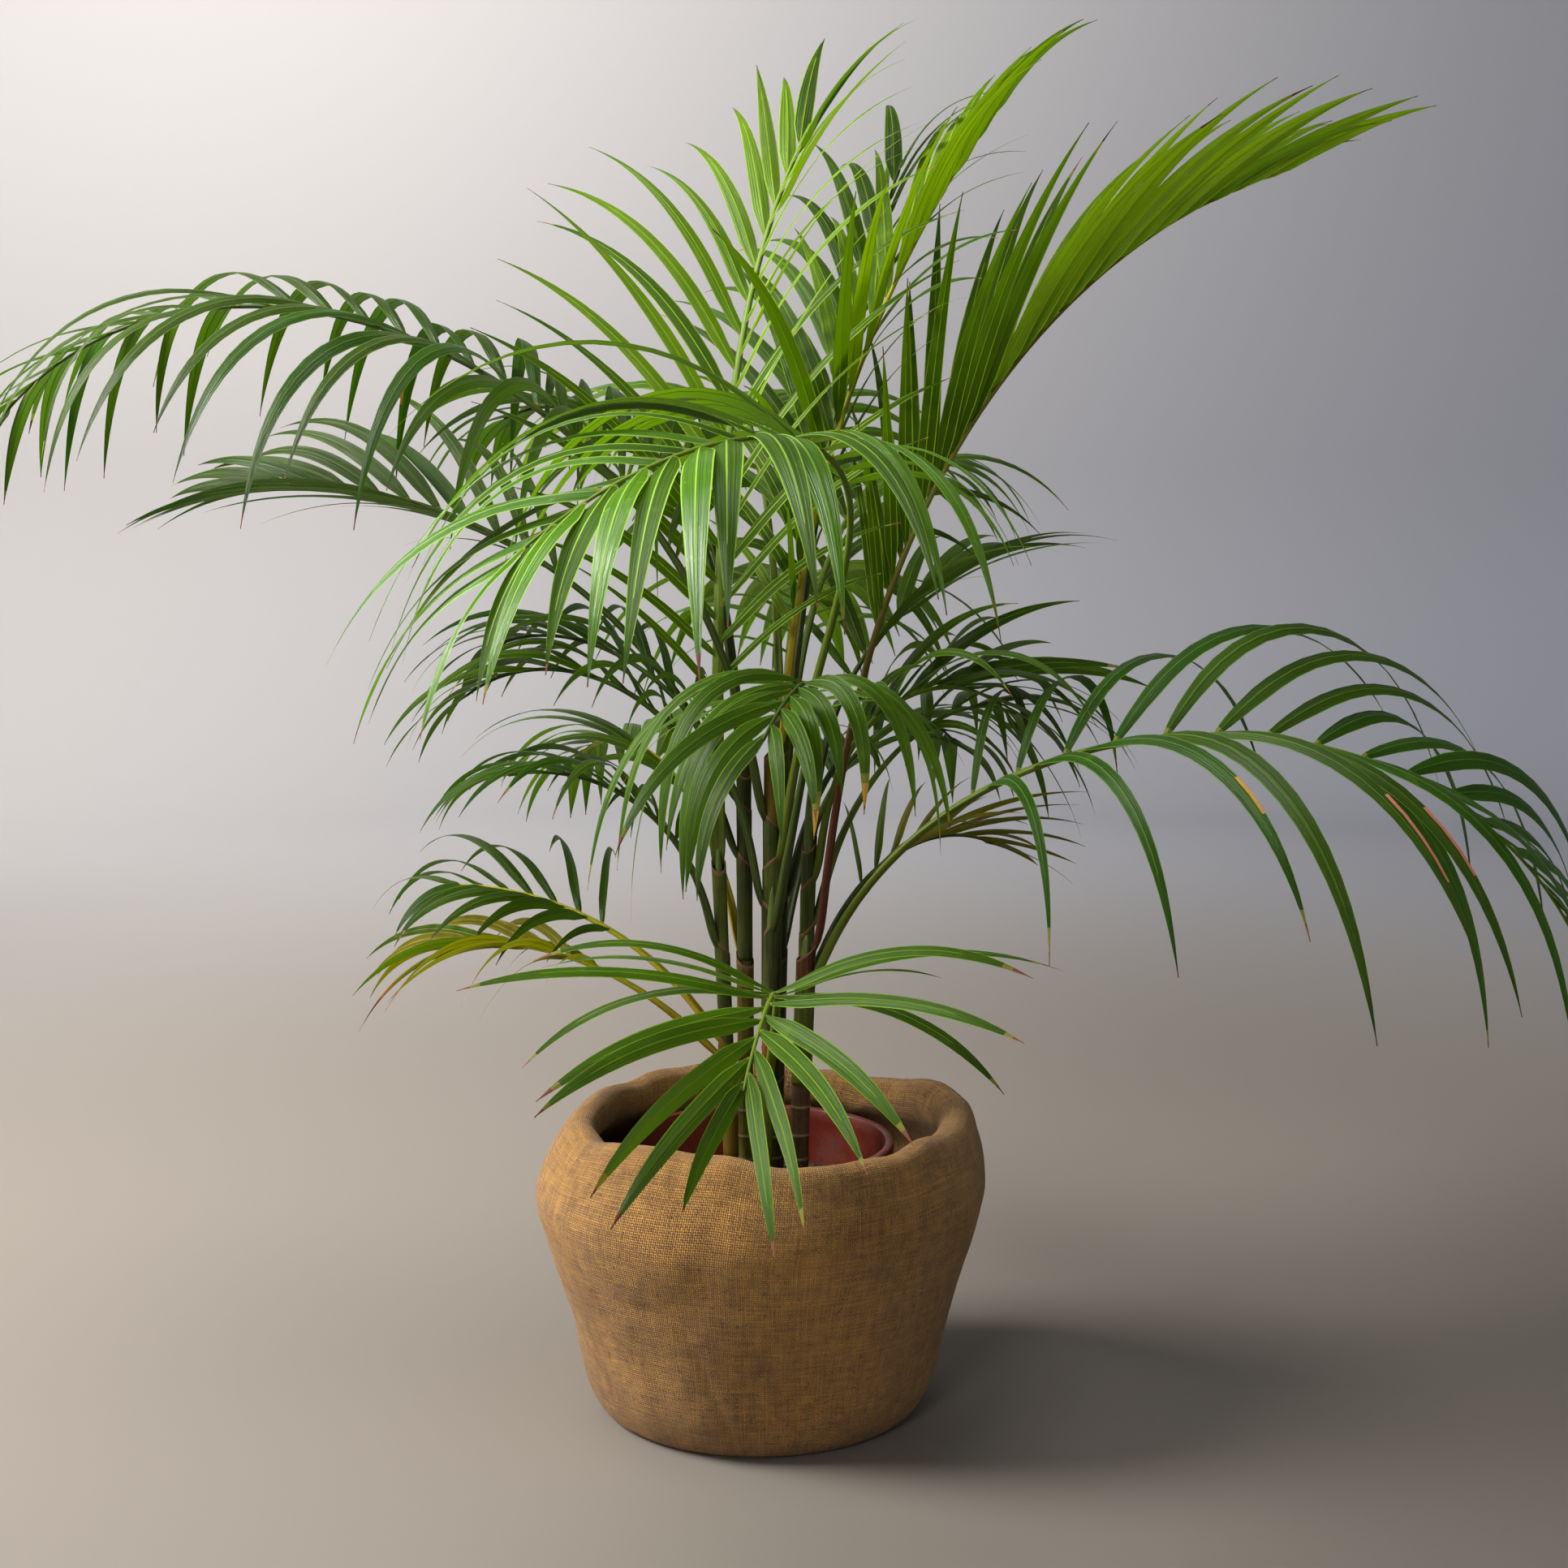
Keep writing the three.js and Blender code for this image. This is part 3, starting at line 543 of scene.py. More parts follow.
FROND_ROWS = [
    ("upper_left", "arching", "deep", "green", "main", 526, 205, -55, 83, 121, 1.13, 975, 0.24, 23, 310,
     16, {"roll": 14, "loose": 1.5}),
    ("front_left", "broad", "bright", "lime", "main", 490, -35, -128, 83, 126, 1.12, 810, 0.5, 16, 295,
     23, {"roll": 14, "uneven": 0.1, "twist": 14, "skew": 12, "soft": 1.6, "spread": (76, 26)}),
    ("right_big", "arching", "blue", "lime", "woody", 387, -30, 58, 71, 127, 0.87, 850, 0.25, 15, 380,
     18, {"roll": -28, "vee": 38, "soft": 2.1}),
    ("left_rear", "straight", "deep", "green", "back_left", 540, 174, -10, 68, 74, 1.0, 580, 0.42, 11,
     245, 14, {"roll": 24, "twist": -28, "spread": (44, 18), "soft": 0.45}),
    ("low_left", "small", "olive", "gold", "left", 318, 188, 0, 46, 52, 1.3, 270, 0.48, 8, 190, 10,
     {"spread": (60, 26), "soft": 0.8, "twist": -50, "vee": 14, "loose": 1.5}),
    ("low_left_small", "small", "deep", "gold", "left", 332, 168, 6, 57, 58, 1.0, 290, 0.45, 7, 170, 13,
     {"soft": 1.0, "spread": (64, 22), "roll": 20, "uneven": 0.2, "vee": 20}),
    ("upright_left", "upright", "light", "lime", "left", 490, 98, -60, 88, 30, 1.7, 680, 0.2, 17, 285,
     16, {"stout": 1.5}),
    ("upright_middle", "upright", "light", "gold", "main", 590, 12, -2, 87, 33, 1.06, 590, 0.16, 15,
     260, 15, {"vee": 40}),
    ("upright_right", "folded", "light", "maroon", "woody", 413, 6, -1, 84, 64, 1.6, 825, 0.34, 18, 290,
     16, {}),
    ("low_front", "fan", "mid", "lime", "front", 300, -80, -25, 57, 103, 1.3, 345, 0.4, 9, 250, 15.5,
     {"loose": 1.5}),
    ("middle_front", "fan", "mid", "green", "front", 435, -62, -50, 70, 105, 1.5, 480, 0.46, 11, 205,
     13.5, {"vee": 12, "soft": 2.8, "spread": (88, 22), "uneven": 0.2, "loose": 2}),
    ("low_right_rear", "straight", "olive", "green", "right", 385, 23, 2, 67, 93, 1.5, 240, 0.36, 8,
     175, 11, {"spread": (50, 16)}),
    ("right_rear", "straight", "mid", "green", "right", 505, 55, -45, 91, 62, 0.9, 290, 0.5, 6, 255, 15,
     {"twist": -28, "spread": (60, 28), "soft": 0.45, "vee": 20}),
    ("middle_left", "small", "mid", "green", "back_left", 490, 190, -28, 76, 112, 1.4, 340, 0.34, 8,
     200, 14, {"soft": 1.2}),
    ("high_left_rear", "small", "deep", "green", "back_left", 612, 139, 7, 83, 103, 1.6, 456, 0.35, 10,
     240, 18, {"soft": 1.4}),
    ("middle_right", "small", "mid", "lime", "right", 470, -20, 40, 84, 148, 1.9, 310, 0.36, 7, 225, 13,
     {"soft": 1.1}),
    ("upright_rear", "upright", "mid", "green", "back", 620, 30, 10, 82, 15, 1.3, 510, 0.2, 13, 250, 16,
     {"soft": 0.5}),
    ("back_high", "arching", "mid", "lime", "back", 590, 95, 10, 80, 98, 1.1, 640, 0.32, 12, 285, 20,
     {"soft": 1.5}),
    ("back_right_low", "small", "deep", "green", "back", 400, 62, 0, 72, 100, 1.0, 480, 0.36, 9, 225,
     17, {"soft": 1.2}),
    ("back_left_low", "small", "mid", "gold", "back_left", 400, 120, 0, 72, 100, 1.0, 440, 0.36, 9, 215,
     17, {"soft": 1.2}),
    ("back_middle", "broad", "bright", "lime", "back", 490, 86, 0, 76, 100, 1.0, 560, 0.36, 11, 255, 20,
     {}),
    ("back_right_high", "small", "mid", "lime", "back", 540, 60, 10, 82, 102, 1.3, 540, 0.34, 11, 255,
     18, {"soft": 1.3}),
    ("back_left_high", "small", "light", "green", "back_left", 570, 112, 6, 82, 96, 1.3, 560, 0.34, 11,
     255, 18, {"soft": 1.3}),
    ("left_low_rear", "small", "deep", "green", "left", 415, 214, -35, 80, 92, 1.3, 270, 0.36, 8, 180,
     13, {"soft": 1.2}),
    ("main_rear_left", "small", "deep", "green", "main", 450, 186, -40, 84, 104, 1.4, 400, 0.4, 9, 200,
     14, {"soft": 1.3}),
    ("rear_right", "straight", "mid", "green", "back", 450, 22, -10, 80, 88, 1.3, 330, 0.36, 6, 230, 17,
     {"spread": (60, 28), "soft": 0.35, "twist": 50}),
    ("right_low", "small", "mid", "lime", "right", 430, 14, 34, 78, 100, 1.4, 340, 0.42, 6, 220, 13,
     {"spread": (58, 20), "soft": 1.3}),
]
PLAIN_FROND = {"roll": 0, "uneven": 0, "stout": 1, "skew": 0, "loose": 1}
FRONDS = []
for index, row in enumerate(FROND_ROWS):
    named = dict(zip(FROND_KEYS, row))
    FRONDS.append({**PLAIN_FROND, **HABITS[named["habit"]], **named, **row[-1], "index": index})

RIB_STEPS = 40
RIB_RINGS = 91
BLADE_STEPS = 22
# Shares of a leaflet's length where its rings lie, closer together at its foot and tip
REACHES = [
    0.3 * k / BLADE_STEPS + 0.35 * (1 - math.cos(math.pi * k / BLADE_STEPS))
    for k in range(BLADE_STEPS + 1)
]
DOWN = np.array([0, 0, -1.0])


def unit(vector):
    return vector / np.linalg.norm(vector)


def heading(azimuth, elevation):
    """Direction of a length of one, from its angles in degrees."""
    a, e = math.radians(azimuth), math.radians(elevation)
    return np.array([math.cos(a) * math.cos(e), math.sin(a) * math.cos(e), math.sin(e)])


def rib_line(frond):
    """Points and directions along the arch of a rib, from a foot beside its cane."""
    middle, radius = cane_axis(CANES[frond["cane"]], frond["height"])
    place = middle + heading(frond["azimuth"], 0) * (radius + 0.3)
    points, directions = [place], []
    for i in range(RIB_STEPS):
        share = (i + 0.5) / RIB_STEPS
        elevation = frond["lift"] - frond["bend"] * share ** frond["late"]
        directions.append(heading(frond["azimuth"] + frond["swing"] * share, elevation))
        place = place + directions[-1] * frond["length"] / RIB_STEPS
        points.append(place)
    directions.append(directions[-1])
    return points, directions


def rib_frame(frond, line, share):
    """Place, direction, right hand and upper side of the rib at a share of its length."""
    share = min(max(share, 0.0), 1.0)
    step = min(int(share * RIB_STEPS), RIB_STEPS - 1)
    rest = share * RIB_STEPS - step
    point = line[0][step] * (1 - rest) + line[0][step + 1] * rest
    along = unit(line[1][step] * (1 - rest) + line[1][step + 1] * rest)
    azimuth = math.radians(frond["azimuth"] + frond["swing"] * share)
    level = np.array([math.sin(azimuth), -math.cos(azimuth), 0.0])
    right = unit(level - along * (level @ along))
    up = np.cross(right, along)
    roll = math.radians(frond["roll"]) * min(1.0, share / frond["bare"])
    rolled = right * math.cos(roll) + up * math.sin(roll)
    return point, along, rolled, np.cross(rolled, along)


def rib_size(frond, share):
    """Half width and depth of the rib."""
    return frond["stout"] * (4.6 - 3.5 * share ** 0.8), frond["stout"] * (8 - 6 * share ** 0.7)


def leaflet_size(place):
    """Share of the longest leaflet's length that one has at a place along the frond."""
    if place < 0.25:
        return 0.62 + 0.38 * place / 0.25
    return 1 - 0.52 * ((place - 0.25) / 0.75) ** 1.6


# How suddenly a leaflet narrows: low is drawn out, high is blunt
BLUNTNESS = {"low_front": 2.4, "middle_front": 1.9, "right_big": 1.8, "upper_left": 1.6, "low_left": 1.6}


def leaflet_width(frond, place, share):
    """Width of a leaflet: a narrow foot, full width by a sixth, and a thread-like tip."""
    foot = (0.55 + 0.45 * min(1.0, place / 0.25)) * (0.24 + 0.76 * min(1.0, share / 0.16) ** 0.75)
    taper = max(0.0, (share - 0.33) / 0.67) ** BLUNTNESS.get(frond["name"], 1.35)
    return frond["wide"] * max(0.05, foot * (1 - taper))


# Corners across a leaflet: how far out they are, and how far below the midrib for a full width
LEAFLET_SECTION = [
    (-1.0, 0.27), (-0.9, 0.235), (-0.5, 0.115), (-0.055, 0.03), (0, 0),
    (0.055, 0.03), (0.5, 0.115), (0.9, 0.235), (1.0, 0.27),
]


def leaflet_rings(frond, line, pair, side, tilt):
    """Corners across a leaflet at each step along it, its midrib raised like a roof's ridge."""
    index, pairs = frond["index"], frond["pairs"]
    place = (pair + 0.5 + side * 0.18) / pairs
    share = frond["bare"] + (1 - frond["bare"]) * place
    point, along, right, up = rib_frame(frond, line, share)

    def dice(salt):
        return 2 * chance(index + salt, 2 * pair + side) - 1

    first, last = frond["spread"]
    spread = math.radians((first + (last - first) * place) * (1 + 0.1 * dice(0)))
    vee = math.radians(frond["vee"] * (1 - 0.5 * place) + 7 * frond["loose"] * dice(50) + tilt)
    start = (
        along * math.cos(spread)
        + right * side * math.cos(vee) * math.sin(spread)
        + up * math.sin(vee) * math.sin(spread)
    )
    uneven = 1 + 0.09 * frond["loose"] * dice(9) + side * frond["uneven"]
    length = frond["leaf"] * leaflet_size(place) * uneven
    soft = frond["soft"] * (1 + 0.3 * frond["loose"] * dice(70))
    fall = math.acos(-start[2])
    sink = unit(DOWN - start * (start @ DOWN))
    across = unit(along - start * (along @ start))
    axis = np.cross(start, sink)
    twist = math.radians(frond["twist"] + side * frond["skew"] + 10 * dice(90))
    curl = math.radians(30 * dice(31))
    drift = 0.035 * dice(33) * length
    centre = point.copy()
    rings = []
    for k, reach in enumerate(REACHES):
        turn = fall * (1 - math.exp(-soft * reach ** frond["curl"]))
        if k:
            half_way = (reach + REACHES[k - 1]) / 2
            bend = fall * (1 - math.exp(-soft * half_way ** frond["curl"]))
            step = length * (reach - REACHES[k - 1])
            centre = centre + (start * math.cos(bend) + sink * math.sin(bend)) * step
        direction = start * math.cos(turn) + sink * math.sin(turn)
        bent = (
            across * math.cos(turn)
            + np.cross(axis, across) * math.sin(turn)
            + axis * (axis @ across) * (1 - math.cos(turn))
        )
        top = np.cross(direction, bent) * side
        lean = twist * min(1.0, reach / 0.12) + curl * max(0.0, reach - 0.5)
        lean += 0.10 * math.sin(2 * math.pi * (reach * 1.3 + dice(41))) * reach
        wide = bent * math.cos(lean) + top * math.sin(lean)
        face = top * math.cos(lean) - bent * math.sin(lean)
        half = leaflet_width(frond, place, reach) / 2
        fold = 1.6 - 1.15 * min(1.0, reach / 0.3) + 0.3 * max(0.0, reach - 0.6)
        middle = centre + bent * drift * reach ** 2.5
        rings.append([
            middle + wide * out * half - face * drop * half * fold
            for out, drop in LEAFLET_SECTION
        ])
    return rings


def ring_tree(rings, step=2):
    """Search tree of a leaflet or rib, for finding what it touches."""
    corners, faces = [], []
    kept = rings[::step] if (len(rings) - 1) % step == 0 else rings
    width = len(kept[0])
    for ring in kept:
        corners += [tuple(p) for p in ring]
    for k in range(len(kept) - 1):
        for i in range(width - 1):
            a, b = k * width + i, (k + 1) * width + i
            faces.append((a, a + 1, b + 1, b))
    return BVHTree.FromPolygons(corners, faces), np.array(corners).min(0), np.array(corners).max(0)


obstacles = []


def is_free(owners, whole, outer):
    """Whether a leaflet touches no obstacle, and with its outer part none of its owners."""
    tree, low, high = whole
    for owner, other, other_low, other_high in obstacles:
        if (low > other_high).any() or (other_low > high).any():
            continue
        tested = outer[0] if owner in owners else tree
        if tested.overlap(other):
            return False
    return True


# Search trees of the cover, the pot and the canes, which the leaflets keep clear of
for name, points, faces in (("cover", cover_points, cover_faces), ("pot", pot_points, pot_faces)):
    corners = [tuple(1000 * c for c in p) for p in points]
    bulk = np.array(corners)
    obstacles.append((name, BVHTree.FromPolygons(corners, faces), bulk.min(0), bulk.max(0)))
for name, cane in CANES.items():
    rings = []
    for level in np.linspace(CANE_FOOT, cane["height"], 8):
        middle, radius = cane_axis(cane, level)
        angles = np.linspace(0, 2 * math.pi, 13)
        rings.append([middle + np.array([radius * math.cos(a), radius * math.sin(a), 0]) for a in angles])
    obstacles.append((name, *ring_tree(rings, 1)))


def rib_rings(frond, line):
    """Rings of the rib: a foot sunk in its sheath, a channel along its top, a rounded keel."""
    rings = []
    inward = heading(frond["azimuth"], 0) * -1
    for k in range(RIB_RINGS):
        share = k / (RIB_RINGS - 1)
        point, along, right, up = rib_frame(frond, line, share)
        half, depth = rib_size(frond, share)
        sunk = math.exp(-share * frond["length"] / 9)
        point = point + inward * 3.2 * sunk - [0, 0, 5 * sunk]
        half, depth = half * (1 - 0.45 * sunk), depth * (1 - 0.6 * sunk)
        flare = 1 + 0.25 * math.exp(-share * frond["length"] / 40)
        channel = 0.30 * max(0.0, 1 - share / max(frond["bare"], 0.05))
        ridge = 0.25 * min(1.0, share / frond["bare"])
        section = [
            (-0.98, -0.12), (-0.72, 0.03), (-0.34, -channel * 0.55 + ridge * 0.6), (0, -channel + ridge),
            (0.34, -channel * 0.55 + ridge * 0.6), (0.72, 0.03), (0.98, -0.12), (0.86, -0.55),
            (0.5, -0.88), (0, -1.0), (-0.5, -0.88), (-0.86, -0.55),
        ]
        rings.append([
            point + right * out * half * flare + up * (high * depth if high < 0 else high * half)
            for out, high in section
        ])
    return rings


rib_lines = {frond["name"]: rib_line(frond) for frond in FRONDS}
rib_shapes = {frond["name"]: rib_rings(frond, rib_lines[frond["name"]]) for frond in FRONDS}
for frond in FRONDS:
    loops = [ring + [ring[0]] for ring in rib_shapes[frond["name"]]]
    obstacles.append((frond["name"], *ring_tree(loops, 3)))


def blade(deep, pale, vein, gloss):
    """Leaf skin: pleats and fine veins along the leaflet, soft patches of tone, a waxy gloss."""
    def look(place, weave):
        pleats = weave.noise(1, 1.0, (7, 0.35, 1))
        veins = weave.noise(1, 2.0, (24, 1.0, 1))
        patch = place.noise(14, 3.0)
        wear_and_gap_shade = place.noise(70, 3.0).step(0.60, 0.74)
        tone = pleats.step(0.3, 0.7) * 0.35 + veins.step(0.3, 0.7) * 0.25 + patch.step(0.3, 0.7) * 0.4
        green = tone.between(deep, pale)
        return {
            "Base Color": (veins.step(0.55, 0.75) * 0.3 + wear_and_gap_shade * 0.25).between(green, vein),
            "Roughness": gloss + 0.12 * patch + 0.08 * wear_and_gap_shade,
            "Normal": (pleats + veins * 0.35).bump(0.0016, 0.8),
        }
    return look


def lit_through(material, tint, share):
    """Lets some light through the leaf, tinted by it."""
    tree = material.node_tree
    shader = tree.nodes["Principled BSDF"]
    output = tree.nodes["Material Output"]
    through = Shade(tree).node("BsdfTranslucent", {}, {"Color": tint})
    both = Shade(tree).node("MixShader", {}, {0: share, 1: Shade(tree, shader.outputs[0]), 2: through})
    tree.links.new(both.socket, output.inputs["Surface"])


GREENS = {
    "deep": ((28, 48, 0), (56, 84, 0), (84, 112, 4), (88, 136, 0), 0.30, 0.22),
    "blue": ((22, 50, 0), (48, 86, 0), (76, 116, 8), (76, 136, 0), 0.28, 0.26),
    "mid": ((34, 62, 0), (68, 104, 0), (104, 138, 6), (112, 158, 0), 0.30, 0.22),
    "bright": ((48, 96, 0), (84, 134, 0), (124, 164, 8), (132, 184, 0), 0.17, 0.60),
    "light": ((64, 104, 0), (108, 142, 0), (148, 174, 12), (152, 196, 0), 0.34, 0.28),
    "olive": ((76, 80, 0), (124, 112, 2), (150, 138, 18), (160, 168, 0), 0.45, 0.20),
}


def dry_blade(deep, pale):
    """Dry or horny skin with fine veins along it."""
    def look(place, weave):
        veins = weave.noise(1, 2.0, (30, 2.0, 1))
        return {
            "Base Color": veins.step(0.3, 0.7).between(deep, pale),
            "Roughness": 0.62 + 0.2 * veins,
            "Normal": veins.bump(0.0006, 0.5),
        }
    return look


leaf_finishes, midrib_finishes = {}, {}
for name, (deep, pale, vein, through, gloss, shine) in GREENS.items():
    green = blade(colour(*deep), colour(*pale), colour(*vein), gloss)
    leaf_finishes[name] = finish(f"leaf_{name}", green, Specular_IOR_Level=shine)
    lit_through(leaf_finishes[name], colour(*through), 0.22)
    ridge = dry_blade(colour(*[(a + b) / 2 for a, b in zip(pale, vein)]), colour(*vein))
    midrib_finishes[name] = finish(f"midrib_{name}", ridge, Specular_IOR_Level=shine)
turning = finish("leaf_turning", dry_blade(colour(84, 92, 8), colour(132, 128, 22)))
lit_through(turning, colour(160, 160, 20), 0.2)
amber = finish("leaf_amber", dry_blade(colour(166, 124, 30), colour(196, 150, 52)))
lit_through(amber, colour(200, 140, 40), 0.15)
withered = finish("leaf_withered", dry_blade(colour(82, 32, 16), colour(132, 66, 34)))
pink_edge = finish("leaf_pink_edge", dry_blade(colour(176, 96, 72), colour(212, 138, 106)))


def stalk_skin(deep, pale, tip):
    """Smooth ribbed skin, streaked along the stalk, and greener towards its tip."""
    def look(place, weave):
        along = weave.node("SeparateXYZ", {}, {0: weave}, output="Y")
        streak = weave.noise(1, 3.0, (9, 5, 1))
        speck = place.noise(330, 2.0).step(0.64, 0.72)
        foot = streak.step(0.3, 0.7).between(deep, pale)
        skin = (along.step(0.12, 0.5) * 0.85).between(foot, tip)
        return {
            "Base Color": (speck * 0.25).between(skin, colour(64, 46, 24)),
            "Roughness": 0.40 + 0.25 * streak,
            "Normal": streak.bump(0.0006, 0.5),
        }
    return look


STALKS = {
    "green": ((34, 46, 6), (66, 80, 16), (50, 76, 6)),
    "lime": ((62, 78, 8), (104, 116, 24), (92, 122, 12)),
    "gold": ((124, 108, 8), (176, 152, 22), (168, 168, 16)),
    "maroon": ((58, 24, 12), (104, 54, 20), (104, 108, 10)),
}
stalk_finishes = {}
for name, colours in STALKS.items():
    skin = stalk_skin(*[colour(*c) for c in colours])
    stalk_finishes[name] = finish(f"stalk_{name}", skin, Specular_IOR_Level=0.3)

# Tilts in degrees that a leaflet tries before it is left out
TILTS = [0, 7, -7, 14, -14, 21, -21]
# The green that some leaflets of a frond have instead, and the share of leaflets with worn tips
NEXT_GREEN = {"deep": "blue", "blue": "deep", "mid": "deep", "bright": "mid", "light": "mid", "olive": "mid"}
TIP_WEAR = {"low_left": 0.75, "low_front": 0.9, "middle_front": 0.5, "right_big": 0.45, "low_left_small": 0.5}
# Places in a frond's palette
GREEN, OTHER_GREEN, MIDRIB, YELLOW, AMBER, BROWN, PINK = range(7)
# Old leaflets: the shares of the length from which they are yellow, amber or pink
AGED = {
    ("low_left", 5, -1): ((0.50, YELLOW), (0.66, AMBER), (0.80, PINK)),
    ("low_left", 2, -1): ((0.62, YELLOW), (0.74, AMBER)),
    ("low_left", 4, 1): ((0.62, YELLOW), (0.74, AMBER)),
    ("low_left", 4, -1): ((0.55, YELLOW), (0.80, AMBER)),
    ("middle_front", 6, -1): ((0.78, YELLOW), (0.86, AMBER)),
    ("middle_front", 8, -1): ((0.74, YELLOW), (0.84, AMBER)),
    ("middle_front", 0, 1): ((0.45, YELLOW),),
}
# Leaflets with a torn edge: the stretch along which it has dried, and its colour
TORN = {
    ("upper_left", 7, 1): (0.60, 0.74, AMBER),
    ("right_big", 2, 1): (0.54, 0.70, AMBER),
    ("right_big", 4, 1): (0.56, 0.80, PINK),
    ("right_big", 5, 1): (0.50, 0.66, PINK),
}
# Strips of faces across a leaflet, counted from its first edge; the outer strips carry a painted highlight
# along the edges
MIDRIB_STRIPS, HIGHLIGHT_EDGE_STRIPS, TORN_STRIPS = (3, 4), (0, 7), (6, 7)


def leaflet_seed(frond, pair, side):
    """A whole number that is different for every leaflet."""
    return frond["index"] * 100 + pair * 2 + side


def free_leaflet(frond, pair, side):
    """Rings of a leaflet at the first tilt that clears all else, or None where no tilt does."""
    name = frond["name"]
    pair_name = f"{name} {pair}"
    for tilt in TILTS:
        rings = leaflet_rings(frond, rib_lines[name], pair, side, tilt)
        whole = ring_tree(rings)
        if is_free((name, pair_name), whole, ring_tree(rings[4:])):
            obstacles.append((pair_name, *whole))
            return rings
    return None


def leaflet_faces(first, side, shift):
    """Faces of a leaflet whose corners start at the first one given, and their coordinates."""
    width = len(LEAFLET_SECTION)
    order = (0, 1, 2, 3) if side > 0 else (0, 3, 2, 1)
    faces, uv = [], []
    for k in range(BLADE_STEPS):
        low, high = REACHES[k] + shift, REACHES[k + 1] + shift
        for i in range(width - 1):
            a, b = first + k * width + i, first + (k + 1) * width + i
            left, right = LEAFLET_SECTION[i][0] + shift, LEAFLET_SECTION[i + 1][0] + shift
            face = (a, b, b + 1, a + 1)
            corners = ((left, low), (left, high), (right, high), (right, low))
            faces.append(tuple(face[n] for n in order))
            uv += [corners[n] for n in order]
    return faces, uv


def leaflet_tints(frond, pair, side):
    """Palette places of a leaflet's faces: a pale midrib, a painted highlight on the edges, painted shade on
    inner leaflets of light fronds, a worn tip, old patches.
    """
    name = frond["name"]
    seed = leaflet_seed(frond, pair, side)
    wear_and_gap_shade = chance(seed, 21) < TIP_WEAR.get(name, 0.3)
    dry = 0.015 + 0.02 * chance(seed, 22) + (0.04 * chance(seed, 25) if wear_and_gap_shade else 0.0)
    fade = dry + (0.015 + 0.035 * chance(seed, 23) if wear_and_gap_shade else 0.0)
    # Painted shade: most inner leaflets of a light frond take the other, darker green, as if shaded by the
    # leaflets around them.
    shaded_inner = frond["green"] == "light" and pair < 0.35 * frond["pairs"]
    green = GREEN if chance(seed, 24) < (0.1 if shaded_inner else 0.72) else OTHER_GREEN
    torn = TORN.get((name, pair, side))
    tints = []
    for low, high in zip(REACHES, REACHES[1:]):
        reach = (low + high) / 2
        for strip in range(len(LEAFLET_SECTION) - 1):
            tint = green
            # The midrib strips and the edge strips take the pale midrib finish; on the edges it is a painted
            # highlight.
            if strip in MIDRIB_STRIPS and reach < 0.75 or strip in HIGHLIGHT_EDGE_STRIPS and reach < 0.9:
                tint = MIDRIB
            if reach > 1 - fade or reach < 0.012:
                tint = YELLOW
            for start, other in AGED.get((name, pair, side), ()):
                if reach > start:
                    tint = other
            if reach > 1 - dry:
                tint = BROWN
            if torn and strip in TORN_STRIPS and torn[0] < reach < torn[1]:
                tint = torn[2]
            tints.append(tint)
    return tints


for frond in FRONDS:
    name, green = frond["name"], frond["green"]
    points, faces, tints, uv = [], [], [], []
    for pair in range(frond["pairs"]):
        for side in (-1, 1):
            rings = free_leaflet(frond, pair, side)
            if rings is None:
                continue
            shift = 0.37 * leaflet_seed(frond, pair, side)
            new_faces, new_uv = leaflet_faces(len(points), side, shift)
            points += [p / 1000 for ring in rings for p in ring]
            faces += new_faces
            uv += new_uv
            tints += leaflet_tints(frond, pair, side)
    palette = [
        leaf_finishes[green], leaf_finishes[NEXT_GREEN[green]], midrib_finishes[green],
        turning, amber, withered, pink_edge,
    ]
    leaflets = solid(f"leaflets_{name}", points, faces, palette, tints, uv)
    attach(leaflets, "root")
    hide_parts(f"frond_{name}")
    width = len(rib_shapes[name][0])
    points = [p / 1000 for ring in rib_shapes[name] for p in ring]
    faces = tube_faces(RIB_RINGS, width) + end_faces(RIB_RINGS, width)
    along = [k / (RIB_RINGS - 1) for k in range(RIB_RINGS)]
    uv = tube_uv([i / width for i in range(width + 1)], along) + [(0, 0)] * width + [(0, 1)] * width
    rib = solid(f"rib_{name}", points, faces, [stalk_finishes[frond["stalk"]]], uv=uv)
    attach(rib, "root")
    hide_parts(f"frond_{name}")


# Sheaths: the foot of each frond wraps its cane as a thin tube, cut slantwise at its mouth,
# with a dry brown edge. The tube is higher on the side where the rib comes out.

# Sheath skins, deep and pale: their own colours darkened as painted shade from the fronds overhead.
SHEATHS = {
    "green": ((34, 42, 8), (72, 78, 22)),
    "lime": ((48, 58, 10), (88, 96, 28)),
    "gold": ((72, 60, 10), (116, 94, 24)),
    "maroon": ((56, 28, 14), (100, 62, 24)),
}
SHEATH_LEVELS, SHEATH_SIDES = 24, 26
SHEATH_LENGTH, SHEATH_WALL = 95, 0.5


def sheath_foot(frond):
    """Height of a sheath's foot: in the sheath below it, and clear of the soil."""
    below = [f["height"] for f in FRONDS if f["cane"] == frond["cane"] and f["height"] < frond["height"]]
    return max([frond["height"] - SHEATH_LENGTH, CANE_FOOT + 20] + [h - 34 for h in below])


def sheath_points(frond, foot, wall):
    """Points of one side of a sheath, which flares to a slanting mouth under the rib."""
    cane = CANES[frond["cane"]]
    points = []
    for k in range(SHEATH_LEVELS + 1):
        rise = k / SHEATH_LEVELS
        for i in range(SHEATH_SIDES):
            angle = 2 * math.pi * i / SHEATH_SIDES
            away = (1 - math.cos(angle - math.radians(frond["azimuth"]))) / 2
            mouth = frond["height"] + 6 - 16 * away ** 0.8
            level = foot + (mouth - foot) * rise
            middle, radius = cane_axis(cane, min(level, cane["height"]))
            middle[2] = level
            swell = 0.6 + 1.3 * rise ** 1.5 * (1 - 0.4 * away)
            ridge = 0.12 * math.sin(9 * angle) * rise
            points.append(beside(middle, radius + swell + ridge - wall, angle))
    return points


